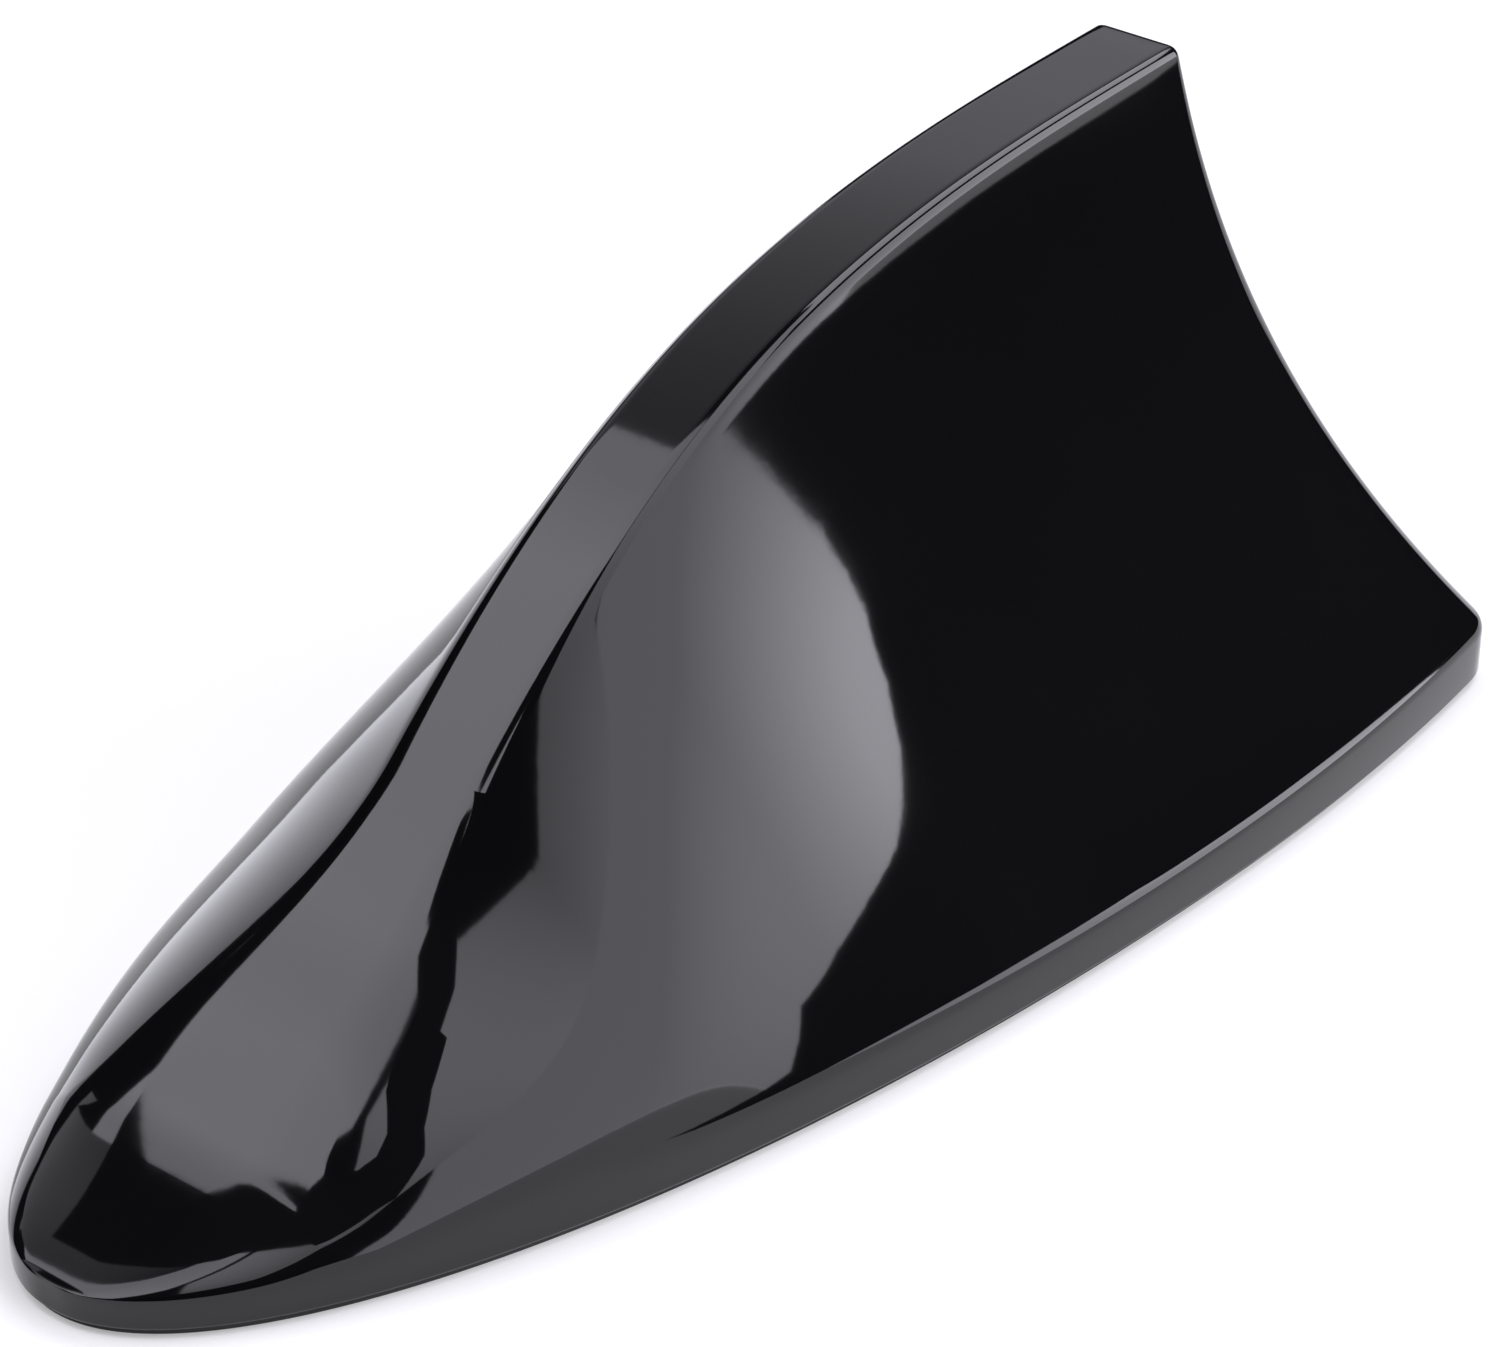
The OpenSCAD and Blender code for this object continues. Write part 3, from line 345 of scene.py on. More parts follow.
def ridge_height(x, c):
    """Height of the ridge above the lip's foot: one cubic from nose to brow, one to the steepest
    place, one to the shoulder and one to the crest, each meeting the next with one slope."""
    spans = [
        joining_cubic(x, 0, c.brow_x, c.lip_nose, c.brow_z, c.nose_slope, c.brow_slope),
        joining_cubic(x, c.brow_x, c.climb_x, c.brow_z, c.climb_z, c.brow_slope, c.climb_slope),
        joining_cubic(x, c.climb_x, c.shoulder_x, c.climb_z, c.shoulder_z, c.climb_slope,
                      c.shoulder_slope),
        joining_cubic(x, c.shoulder_x, c.crest_x, c.shoulder_z, c.crest_z, c.shoulder_slope,
                      c.crest_slope)]
    return np.select([x < c.brow_x, x < c.climb_x, x < c.shoulder_x], spans[:3], spans[3])


def through_stations(values, q):
    """Smooth curve through one value at each flank station; its slope at a station is the slope
    between the stations on both sides."""
    q = np.minimum(q, 1.0)
    last = len(FLANK_AT) - 1
    low, high = np.maximum(np.arange(last + 1) - 1, 0), np.minimum(np.arange(last + 1) + 1, last)
    slopes = (values[high] - values[low]) / (FLANK_AT[high] - FLANK_AT[low])
    k = np.clip(np.searchsorted(FLANK_AT, q, side="right") - 1, 0, last - 1)
    return joining_cubic(q, FLANK_AT[k], FLANK_AT[k + 1], values[k], values[k + 1], slopes[k],
                         slopes[k + 1])


def plan_x(angle, inset, c):
    """Plan curve lengthwise: half an ellipse up to the widest section, a longer ellipse behind."""
    front = inset + (c.widest_at - inset) * (1 - np.cos(angle))
    behind = (c.cover_length - inset - c.widest_at) / (c.cover_length - c.widest_at)
    return np.where(angle < math.pi / 2, front,
                    c.widest_at + c.tail_ellipse * behind * np.sin(angle - math.pi / 2))


def blunt_nose(c):
    """Distance from the nose to the model's first section."""
    return float(plan_x(c.nose_angle, 0, c))


def tail_turn(inset, c):
    """Where the plan curve, set in by a distance, meets the tail: its angle and place there, the
    radius of the corner, and the angle at which the corner begins."""
    tail_angle = math.pi / 2 + math.asin((c.cover_length - c.widest_at) / c.tail_ellipse)
    radius = max(LEAST_CORNER, c.tail_corner - inset)
    end_x = float(plan_x(tail_angle, inset, c))
    share = (end_x - radius - c.widest_at) / (end_x - c.widest_at)
    corner_angle = math.pi / 2 + math.asin(share * math.sin(tail_angle - math.pi / 2))
    return tail_angle, end_x, radius, corner_angle


def tail_bow(share, c):
    """How far the tail bows out at a share of the way across it."""
    return c.tail_crown * (1 - (2 * share - 1) ** 2) ** 2


def bow(p, guide, q, s):
    """Parabola from p to q that leaves and arrives along the lines to the guide point."""
    return (1 - s) ** 2 * p + 2 * s * (1 - s) * guide + s * s * q


def half_sections(angle, inset, edge_steps, flank_steps, c, foot):
    """Half cross sections at an array of plan angles, as an array of angle by point by place. Each
    runs from the ridge band out over its rounded edge, down the flank, which is one parabola whose
    guide point moves with the distance from the nose, and round the lip to the foot."""
    angle = np.atleast_1d(np.asarray(angle, float))
    outer = inset == 0
    along = plan_x(angle, 0, c)
    q = along / c.cover_length
    side_x = plan_x(angle, inset, c)
    side_y = (c.half_width - inset) * np.sin(angle)
    ridge_x = along - (c.cover_length - c.crest_x) * q**c.lean + inset * (1 - 2 * q)
    lip = c.lip_nose + (c.lip_tail - c.lip_nose) * np.sqrt(q)
    sunk, least = lip - inset / 2, c.lip_nose - NOSE_SPARE
    edge_z = foot + (lip if outer else np.maximum(sunk, least))
    ridge = ridge_height(ridge_x, c)
    if not outer:
        ridge = np.maximum(ridge - WALL_LIFT * inset, np.minimum(sunk, least))
    top = np.maximum(foot + ridge, edge_z + LEAST_RISE)
    spread = np.maximum(0, (c.flare_from - ridge_x) / c.flare_from)
    band = np.minimum(c.ridge_half + c.ridge_flare * spread**FLARE_POWER - RIDGE_DRAW * inset,
                      RIDGE_SHARE * side_y)
    p = np.stack([ridge_x, band, top], -1)
    e = np.stack([side_x, side_y, edge_z], -1)
    guide = np.stack([ridge_x + (side_x - ridge_x) * (0.5 - GUIDE_LEAN * np.maximum(0, 2 * q - 1)),
                      band + (side_y - band) * through_stations(FLANK_OUT, q),
                      edge_z + (top - edge_z) * through_stations(FLANK_UP, q)], -1)
    ridge_r = np.minimum(c.ridge_round + c.ridge_fade * spread**2 if outer else INNER_ROUND,
                         ROUND_SHARE * band)
    lip_r = np.full_like(ridge_r, c.lip_round if outer else INNER_ROUND / 2)
    s1, s2 = (np.minimum(most, r / (2 * np.linalg.norm(guide - end, axis=-1) + NEARLY_NONE))[:, None]
              for most, r, end in ((EDGE_REACH, ridge_r, p), (LIP_REACH, lip_r, e)))
    s2 = 1 - s2
    inward, down = np.zeros_like(p), np.zeros_like(p)
    inward[:, 1], down[:, 2] = ridge_r, lip_r
    u = np.linspace(0, 1, edge_steps + 1)[None, :, None]
    over = bow((p - inward)[:, None], p[:, None], bow(p, guide, e, s1)[:, None], u)
    share = np.linspace(0, 1, flank_steps + 1)[None, 1:, None]
    flank = bow(p[:, None], guide[:, None], e[:, None], s1[:, None] + (s2 - s1)[:, None] * share)
    lip_edge = bow(bow(p, guide, e, s2)[:, None], e[:, None], (e - down)[:, None], u[:, 1:])
    rows = [over, flank, lip_edge]
    turn = np.linspace(0, math.pi / 2, FOOT_STEPS + 1) if outer else np.array([0.0])
    for t in turn:
        r = c.foot_round if outer else 0.0
        back = r * (1 - math.cos(t))
        rows.append(np.stack([plan_x(angle, inset + back, c),
                              (c.half_width - inset - back) * np.sin(angle),
                              np.full_like(q, foot + r * (1 - math.sin(t)))], -1)[:, None])
    return np.concatenate(rows, 1)


def corner_sections(side, edge, radius, inset, c, turn):
    """Sections round a tail corner: each point runs on a parabola from the side, past the place
    where the side and the tail face would meet, into the tail face. The radius shrinks from the
    corner's at the foot to the crest's at the top, where the turn also drops into the face."""
    top = edge[0, 2]
    low = np.maximum(0, 1 - edge[:, 2] / top)[:, None]
    r = max(LEAST_CREST, c.crest_round - inset / 2) * (1 - low) + radius * low
    start = edge + (side - edge) * r / radius
    across = np.minimum(1, edge[:, 1:2] / c.ridge_half)
    down = np.maximum(0, 1 - (top - edge[:, 2:3]) / (2 * r))
    end = edge - np.concatenate([np.zeros_like(r), r * across, r * down], 1)
    return bow(start[None], edge[None], end[None], turn[:, None, None])


def cover_skin(inset, edge_steps, flank_steps, c, foot):
    """One skin of the cover: three grids, for the body from nose to tail, the tail face and the
    nose face. All share their border points, and each grid's rows and columns turn outwards."""
    tail_angle, _, radius, corner_angle = tail_turn(inset, c)
    even = np.linspace(0, 1, c.sections + 1)
    angles = NOSE_START + (corner_angle - NOSE_START) * (0.5 * even + 0.5 * even**2)
    args = (inset, edge_steps, flank_steps, c, foot)
    body = half_sections(angles, *args)
    edge = half_sections(tail_angle, *args)[0]
    turn = np.linspace(0, 1, c.corner_steps + 1)
    corner = corner_sections(body[-1], edge, radius, inset, c, turn)
    half = np.concatenate([body[:-1], corner], 0)
    half[..., 0] = np.hypot(half[..., 0], blunt_nose(c))
    mirror = half * np.array([1, -1, 1])
    u = np.linspace(0, 1, c.tail_steps + 1)
    band = half[:, None, 0] * u[None, :, None] + mirror[:, None, 0] * (1 - u)[None, :, None]
    ring = np.concatenate([mirror[:, :0:-1], band, half[:, 1:]], 1)
    u = u[None, :, None]
    tail = mirror[-1][:, None] * (1 - u) + half[-1][:, None] * u
    tail[..., 0] += tail_bow(u[..., 0], c) * (1 - tail[..., 2] / tail[0, 0, 2])
    nose = mirror[0][:, None] * (1 - u) + half[0][:, None] * u
    return ring, tail, nose


def added(name, data):
    """A new object in the scene."""
    piece = bpy.data.objects.new(name, data)
    bpy.context.scene.collection.objects.link(piece)
    return piece


def mesh_of(name, grids):
    """One mesh object from a list of grids of points, each of which becomes a sheet of quads. Points
    that coincide are merged, all closed forms are turned outwards, and the shading is smooth up to
    an angle."""
    points, faces, start = [], [], 0
    for grid in grids:
        rows, columns = grid.shape[:2]
        k = np.arange(rows * columns).reshape(rows, columns) + start
        points.append(grid.reshape(-1, 3))
        faces.append(np.stack([k[:-1, :-1], k[1:, :-1], k[1:, 1:], k[:-1, 1:]], -1).reshape(-1, 4))
        start += rows * columns
    mesh = bpy.data.meshes.new(name)
    mesh.from_pydata(np.concatenate(points), [], np.concatenate(faces).tolist())
    work = bmesh.new()
    work.from_mesh(mesh)
    bmesh.ops.remove_doubles(work, verts=work.verts, dist=WELD)
    bmesh.ops.dissolve_degenerate(work, edges=work.edges, dist=WELD)
    bmesh.ops.recalc_face_normals(work, faces=work.faces)
    open_edges = [edge for edge in work.edges if len(edge.link_faces) != 2]
    if open_edges or work.calc_volume(signed=True) < 0:
        raise RuntimeError(f"{name} is not closed or is inside out: {len(open_edges)} open edges")
    work.to_mesh(mesh)
    work.free()
    mesh.shade_smooth()
    mesh.set_sharp_from_angle(angle=SHARP)
    return added(name, mesh)


def slab(front, back):
    """A closed strip between two matching grids of two rows: both faces and the rim between."""
    rims = [np.concatenate([g[0], g[1][::-1], g[0][:1]], 0) for g in (front, back)]
    return [front, back, np.stack(rims, 0)]


def middle_of(c):
    """Distance from the nose to the model's origin."""
    return (blunt_nose(c) + c.cover_length + c.tail_crown) / 2


def foot_height():
    """Height of the cover's foot over the roof skin."""
    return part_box("cover")[0].z


def boss_places(c, b):
    """Places of the screw bosses from the nose: one in front, and two pairs at the sides."""
    places = [(b.boss_front, 0.0)]
    for x, y in ((b.boss_middle, c.half_width - b.boss_middle_in),
                 (c.cover_length - b.boss_tail, c.half_width - b.boss_rear_in)):
        places += [(x, y), (x, -y)]
    return places


def dress(piece, material, node):
    """Gives a new piece its material and its body, and hides the model node that it stands for."""
    piece.data.materials.append(material)
    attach(piece, "root")
    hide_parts(node)
    return piece


def paint(material, *nodes):
    """Gives model nodes, whose meshes stay as they are, their material."""
    for name in nodes:
        mesh = frame["nodes"][name].data
        mesh.materials.clear()
        mesh.materials.append(material)


def outline_loop(inset, c, shift):
    """Closed plan outline of the fin set in by a distance: the plan curve up to each tail corner, a
    parabola round the corner and the bowed tail between, at even steps along the whole loop."""
    tail_angle, end_x, radius, corner_angle = tail_turn(inset, c)
    angles = NOSE_START + (corner_angle - NOSE_START) * np.linspace(0, 1, c.sections)
    side = np.stack([plan_x(angles, inset, c), (c.half_width - inset) * np.sin(angles)], -1)
    edge = np.array([end_x, (c.half_width - inset) * math.sin(tail_angle)])
    turn = np.linspace(0, 1, c.corner_steps + 1)[1:, None]
    corner = bow(side[-1], edge, edge - np.array([0, radius]), turn)
    u = np.linspace(0, 1, c.tail_steps + 1)[1:-1]
    tail = np.stack([end_x + tail_bow(u, c), corner[-1, 1] * (1 - 2 * u)], -1)
    half = np.concatenate([side, corner], 0)
    half[:, 0] = np.hypot(half[:, 0], blunt_nose(c))
    loop = np.concatenate([half, tail, half[::-1] * np.array([1, -1])], 0)
    loop = np.concatenate([loop, loop[:1]], 0)
    step = np.linalg.norm(np.diff(loop, axis=0), axis=1)
    walked = np.concatenate([[0], np.cumsum(step)])
    even = np.linspace(0, walked[-1], OUTLINE_STEPS + 1)
    return np.stack([np.interp(even, walked, loop[:, 0]) + shift,
                     np.interp(even, walked, loop[:, 1])], -1)


def ring_swept(profile, c, shift):
    """Closed profile of (inset, height) pairs carried round the fin's plan outline: each point of
    the profile runs along the outline set in by its own distance."""
    rows = []
    for inset, height in profile + profile[:1]:
        loop = outline_loop(inset, c, shift)
        rows.append(np.concatenate([loop, np.full((len(loop), 1), height)], 1))
    return np.stack(rows, 0)


def roof_height(plan, skin):
    """Height of the inner skin over plan points: the mean of the skin's nearest points, weighted by
    nearness."""
    gap = np.linalg.norm(plan.reshape(-1, 1, 2) - skin[None, :, :2], axis=-1)
    near = np.argpartition(gap, NEAR_POINTS, axis=1)[:, :NEAR_POINTS]
    weight = 1 / (np.take_along_axis(gap, near, 1) + NEARLY_NONE)
    height = (skin[near, 2] * weight).sum(1) / weight.sum(1)
    return height.reshape(plan.shape[:-1])


def boss_tube(centre, low, skin, b):
    """A screw boss: a round post with a blind pilot hole from below, whose top follows the inner
    skin and enters the wall."""
    t = np.linspace(0, 2 * math.pi, BOSS_STEPS + 1)

    def round_of(r):
        return np.stack([centre[0] + r * np.cos(t), centre[1] + r * np.sin(t)], -1)

    hole_top = b.seal + b.head_depth + b.screw_length + b.pilot_spare
    top = roof_height(round_of(b.boss_radius), skin) + b.boss_bite
    rows = [(b.pilot_radius, low), (b.boss_radius, low), (b.boss_radius, top), (0.0, top.mean())]
    hole = [(b.pilot_radius, low), (b.pilot_radius, hole_top), (0.0, hole_top)]
    return [np.stack([np.concatenate([round_of(r), np.broadcast_to(z, t.shape)[:, None]], 1)
                      for r, z in part], 0) for part in (rows, hole)]


def web_plate(centre, low, skin, b):
    """A flat web from a side boss out to the side of the fin, from just over the base plate up to
    the inner skin, which its upper edge follows."""
    side = math.copysign(1.0, centre[1])
    close = np.abs(skin[:, 0] - centre[0]) < WEB_WINDOW
    reach = np.abs(skin[close, 1]).max() + b.boss_bite
    y = side * np.linspace(abs(centre[1]), reach, WEB_STEPS + 1)
    faces = []
    for x in (centre[0] - b.rib_width / 2, centre[0] + b.rib_width / 2):
        plan = np.stack([np.full_like(y, x), y], -1)
        top = np.maximum(roof_height(plan, skin) + b.boss_bite, low + LEAST_WEB)
        faces.append(np.stack([np.column_stack([plan, np.full_like(y, low)]),
                               np.column_stack([plan, top])], 0))
    return slab(*faces)


def long_rib(x0, x1, c, b, shift):
    """The rib under the front of the ridge: a flat plate on the middle plane between two curves
    that follow the ridge."""
    x = np.linspace(x0, x1, RIB_STEPS + 1)
    ridge = b.seal + ridge_height(x, c)
    low, high = ridge - c.wall * WALL_LIFT - b.rib_depth, ridge - c.wall / 2
    faces = [np.stack([np.column_stack([x + shift, np.full_like(x, y), z]) for z in (low, high)], 0)
             for y in (-b.rib_width / 2, b.rib_width / 2)]
    return slab(*faces)


def threaded_screw(centre, face, up, radius, head_radius, head_height, shank):
    """A pan head screw as one surface round its axis: a path from the middle of the head over its
    rounded rim and down the shank to the tip. The radius along the shank carries a helical ridge,
    and the head's face sinks where the two arms of the cross recess are."""
    t = np.linspace(0, 2 * math.pi, SCREW_STEPS + 1)[None, :]
    rho = np.linspace(0, 1, FACE_STEPS + 1)[:, None] * (head_radius - HEAD_ROUND)
    arm_x, arm_y = np.abs(rho * np.cos(t)), np.abs(rho * np.sin(t))
    inside = np.clip((CROSS_HALF - np.minimum(arm_x, arm_y)) / CROSS_SLOPE + 0.5, 0, 1)
    inside *= np.clip((CROSS_SHARE * head_radius - np.maximum(arm_x, arm_y)) / CROSS_SLOPE + 0.5, 0, 1)
    face_r = np.broadcast_to(rho, inside.shape)
    face_z = inside * head_height * CROSS_SHARE
    turn = np.linspace(0, math.pi / 2, RIM_STEPS + 1)[1:, None]
    rim_r = np.broadcast_to(head_radius - HEAD_ROUND * (1 - np.sin(turn)), (RIM_STEPS, t.size))
    rim_z = np.broadcast_to(HEAD_ROUND * (1 - np.cos(turn)), rim_r.shape)
    root = radius - THREAD_DEPTH
    z = np.linspace(0, shank, max(LEAST_STEPS, int(THREAD_STEPS * shank / THREAD_PITCH)))[:, None]
    phase = (z / THREAD_PITCH - t / (2 * math.pi)) % 1.0
    ridge = np.clip(THREAD_CREST - 2 * THREAD_CREST * np.abs(2 * phase - 1), 0, 1)
    fade_in = np.clip(z / THREAD_PITCH - 0.5, 0, 1)
    taper = np.clip((shank - z) / (2 * radius), 0, 1)
    shank_r = (root + THREAD_DEPTH * ridge * fade_in) * (TIP_SHARE + (1 - TIP_SHARE) * np.sqrt(taper))
    full = np.ones((1, t.size))
    r = np.concatenate([face_r, rim_r, head_radius * full, root * full, shank_r, 0 * full], 0)
    h = np.concatenate([face_z, rim_z, head_height * full, head_height * full,
                        head_height + z * np.ones_like(t), (head_height + shank) * full], 0)
    height = face + h if up else face - h
    return np.stack([centre[0] + r * np.cos(t), centre[1] + r * np.sin(t), height], -1)


def wound_wire(axis_x, radius, wire, low, high, turns, start):
    """A round wire up a helix: a circle square to the wire's run at each of many even steps, drawn
    in to a point at both ends."""
    k = np.linspace(0, 1, int(turns * COIL_STEPS) + 1)
    t = start + 2 * math.pi * turns * k
    centre = np.stack([axis_x + radius * np.cos(t), radius * np.sin(t), low + (high - low) * k], -1)
    outward = np.stack([np.cos(t), np.sin(t), np.zeros_like(t)], -1)
    run = np.stack([-radius * np.sin(t), radius * np.cos(t),
                    np.full_like(t, (high - low) / (2 * math.pi * turns))], -1)
    run /= np.linalg.norm(run, axis=1, keepdims=True)
    upward = np.cross(run, outward)
    w = np.linspace(0, 2 * math.pi, WIRE_STEPS + 1)
    tube = (centre[:, None] + wire * np.cos(w)[None, :, None] * outward[:, None]
            + wire * np.sin(w)[None, :, None] * upward[:, None])
    ends = [np.repeat(centre[end][None, None], w.size, 1) for end in (0, -1)]
    return np.concatenate([ends[0], tube, ends[1]], 0)


def squarer(v):
    """A circle's sine or cosine drawn towards a rectangle's."""
    return np.sign(v) * np.abs(v) ** PAD_POWER


def crowned_pad(x0, x1, half_width, under, over, c, shift):
    """A foam pad between two curves that follow the ridge: rounded sections, like a circle pulled
    towards a rectangle, whose size swells from nothing at each end over a short rounded stretch."""
    u = np.linspace(0, 1, PAD_STEPS + 1)
    x = x0 + (x1 - x0) * u
    end = np.minimum(np.minimum(u, 1 - u) * (x1 - x0) / PAD_ROUND, 1)
    swell = np.sqrt(1 - (1 - end) ** 2)[:, None]
    w = np.linspace(0, 2 * math.pi, PAD_ROUND_STEPS + 1)[None, :]
    ridge = (foot_height() + ridge_height(x, c))[:, None]
    y = half_width * swell * squarer(np.cos(w))
    z = ridge + (under + over) / 2 + (over - under) / 2 * swell * squarer(np.sin(w))
    return np.stack([np.broadcast_to((x + shift)[:, None], y.shape), y, z], -1)


def new_material(name):
    """A material with its shader and output, and nothing linked yet."""
    material = bpy.data.materials.new(name + "_finish")
    material.use_nodes = True
    return material, material.node_tree, material.node_tree.nodes["Principled BSDF"]


def slot_tone(slot):
    """The colour that the packed record gives a material slot."""
    for row in frame["record"]["materials"]:
        if row["slot"] == slot:
            return tuple(row["base_color"])
    raise RuntimeError(f"the record has no material slot {slot}")


def give(made, values):
    """Links sockets to a node's inputs, or sets their values, by name or number."""
    for key, value in values.items():
        if isinstance(value, bpy.types.NodeSocket):
            made.id_data.links.new(value, made.inputs[key])
        else:
            made.inputs[key].default_value = value


def node(tree, kind, values=None, **settings):
    """A new node with its settings and what its inputs are given."""
    made = tree.nodes.new(kind)
    for key, value in settings.items():
        setattr(made, key, value)
    give(made, values or {})
    return made


def maths(tree, operation, a, b=0.0, clamp=False):
    """One Math node's result."""
    return node(tree, "ShaderNodeMath", {0: a, 1: b}, operation=operation, use_clamp=clamp).outputs[0]


def between(tree, value, low, high, to_low=0.0, to_high=1.0):
    """A value's place between two limits, spread over two other limits."""
    return node(tree, "ShaderNodeMapRange", {"Value": value, "From Min": low, "From Max": high,
                                             "To Min": to_low, "To Max": to_high}).outputs[0]


def along_run(tree, place, run):
    """How far a place lies along a run, times the run's length."""
    return node(tree, "ShaderNodeVectorMath", {0: place, 1: run},
                operation="DOT_PRODUCT").outputs["Value"]


def blend_colour(tree, mask, a, b):
    """Colour a where the mask is nothing and colour b where it is one. A plain colour has three
    parts."""
    a, b = ((*tone, 1) if isinstance(tone, tuple) else tone for tone in (a, b))
    return node(tree, "ShaderNodeMix", {0: mask, 6: a, 7: b}, data_type="RGBA").outputs[2]


def relief(tree, height, distance):
    """The normal of a surface that a height shapes."""
    return node(tree, "ShaderNodeBump", {"Height": height, "Distance": distance}).outputs[0]


def object_place(tree):
    """Coordinates of the whole aerial, since every piece has its origin in the same place."""
    return tree.nodes.new("ShaderNodeTexCoord").outputs["Object"]


def axis_place(tree, axis):
    """One object coordinate: 0 along the fin, 1 across, 2 up."""
    return node(tree, "ShaderNodeSeparateXYZ", {0: object_place(tree)}).outputs[axis]


def noise(tree, scale, detail, place=None):
    """The value of a cloud pattern, in object coordinates or in others."""
    return node(tree, "ShaderNodeTexNoise", {"Vector": place or object_place(tree), "Scale": scale,
                                             "Detail": detail}).outputs[0]


def cell_pattern(tree, scale, randomness=1.0, feature="F1"):
    """The outputs of a pattern of cells."""
    return node(tree, "ShaderNodeTexVoronoi", {"Vector": object_place(tree), "Scale": scale,
                                               "Randomness": randomness}, feature=feature).outputs


def effect(inputs, outputs):
    """Turns a function that gives a node group's outputs from its tree and inputs into one that
    places the group, built at its first use, in a material with values of its own."""
    def wrap(layout):
        def placed(tree, **values):
            group = bpy.data.node_groups.get(layout.__name__) or build(layout, inputs, outputs)
            made = node(tree, "ShaderNodeGroup", node_tree=group)
            give(made, {key.replace("_", " "): value for key, value in values.items()})
            return made.outputs
        return placed
    return wrap


def build(layout, inputs, outputs):
    """A new node group, laid out by a function."""
    tree = bpy.data.node_groups.new(layout.__name__, "ShaderNodeTree")
    for way, labels in (("INPUT", inputs), ("OUTPUT", outputs)):
        for label in labels:
            kind = "NodeSocketColor" if label == "Color" else "NodeSocketFloat"
            socket = tree.interface.new_socket(label, in_out=way, socket_type=kind)
            if way == "INPUT":
                socket.default_value = inputs[label]
    made = layout(tree, tree.nodes.new("NodeGroupInput").outputs)
    give(tree.nodes.new("NodeGroupOutput"), dict(zip(outputs, made)))
    return tree


@effect({"Color": (0.5, 0.5, 0.5, 1), "Drift": 0.1, "Scale": 60.0}, ["Color"])
def tint_drift(tree, given):
    """A colour that grows a little lighter and darker in soft clouds."""
    cloud = noise(tree, given["Scale"], 3.0)
    swing = maths(tree, "MULTIPLY", maths(tree, "SUBTRACT", cloud, 0.5), given["Drift"])
    value = maths(tree, "ADD", maths(tree, "MULTIPLY", swing, DRIFT_GAIN), 1.0)
    return node(tree, "ShaderNodeHueSaturation", {"Color": given["Color"], "Value": value}).outputs[:1]


@effect({"Scale": 900.0, "Cloud Scale": 70.0}, ["Height", "Cloud"])
def fine_grain(tree, given):
    """A moulded or cast grain, as a height and as a softer value for the roughness."""
    return noise(tree, given["Scale"], 4.0), noise(tree, given["Cloud Scale"], 2.0)


@effect({"Radius": 0.3 * MM}, ["Mask"])
def worn_edge(tree, given):
    """A mask of the outer edges, where a rounded normal departs from the true one."""
    rounded = node(tree, "ShaderNodeBevel", {"Radius": given["Radius"]}, samples=4).outputs[0]
    true = tree.nodes.new("ShaderNodeNewGeometry").outputs["Normal"]
    return [between(tree, along_run(tree, rounded, true), *WORN_BEND)]


@effect({"Scale": 120.0, "Size": 0.05, "Share": 0.2}, ["Mask"])
def dust_specks(tree, given):
    """A mask of small settled specks, one in some of the cells of a cell pattern."""
    cells = cell_pattern(tree, given["Scale"])
    small = maths(tree, "LESS_THAN", cells["Distance"], given["Size"])
    pick = node(tree, "ShaderNodeSeparateColor", {0: cells["Color"]}).outputs[0]
    return [maths(tree, "MULTIPLY", small, maths(tree, "LESS_THAN", pick, given["Share"]))]


@effect({"Scale": 2500.0}, ["Value"])
def drawn_lines(tree, given):
    """Fine lines along the fin's length, as rolling leaves them on sheet metal."""
    stretched = node(tree, "ShaderNodeMapping", {"Vector": object_place(tree), "Scale": (0.03, 1, 1)})
    return [noise(tree, given["Scale"], 2.0, stretched.outputs[0])]


def finish(drift, rough=None, grain=None, wear=None, metal=0.0, slot=None):
    """Turns a function that gives some of the shader's inputs, from a material's tree and colour,
    into one that gives the whole material, made once and then used again. The colour is the slot's:
    it drifts in clouds and wears to another at the edges. The roughness runs between two values in
    clouds, and a grain has a scale and a height."""
    def wrap(details):
        def made():
            name = details.__name__
            if name + "_finish" in bpy.data.materials:
                return bpy.data.materials[name + "_finish"]
            material, tree, shader = new_material(name)
            colour = tint_drift(tree, Color=(*slot_tone(slot or name), 1), Drift=drift)["Color"]
            if wear:
                colour = blend_colour(tree, worn_edge(tree)["Mask"], colour, wear)
            give(shader, {"Base Color": colour, "Metallic": metal})
            if rough:
                grown = fine_grain(tree, **({"Scale": grain[0]} if grain else {}))
                give(shader, {"Roughness": between(tree, grown["Cloud"], *NOISE_RANGE, *rough)})
            if grain:
                give(shader, {"Normal": relief(tree, grown["Height"], grain[1])})
            give(shader, details(tree, colour))
            return material
        return made
    return wrap


def gloss_black(f):
    """Polished black moulding: a faint ripple that bends reflections, hardly seen smears and a few
    specks of dust."""
    material, tree, shader = new_material("gloss_black")
    colour = tint_drift(tree, Color=(*f.cover_tone, 1), Drift=0.04)["Color"]
    dust = dust_specks(tree, Scale=f.dust_scale, Size=0.022, Share=0.09)["Mask"]
    grown = fine_grain(tree, Scale=f.ripple_scale, Cloud_Scale=45.0)
    smear = between(tree, grown["Cloud"], 0.35, 0.75, f.gloss_rough, f.gloss_rough + SMEAR)
    give(shader, {"Base Color": blend_colour(tree, dust, colour, DUST_TONE), "IOR": 1.5,
                  "Roughness": maths(tree, "ADD", smear, maths(tree, "MULTIPLY", dust, DUST_ROUGH)),
                  "Normal": relief(tree, grown["Height"], f.ripple_depth)})
    return material


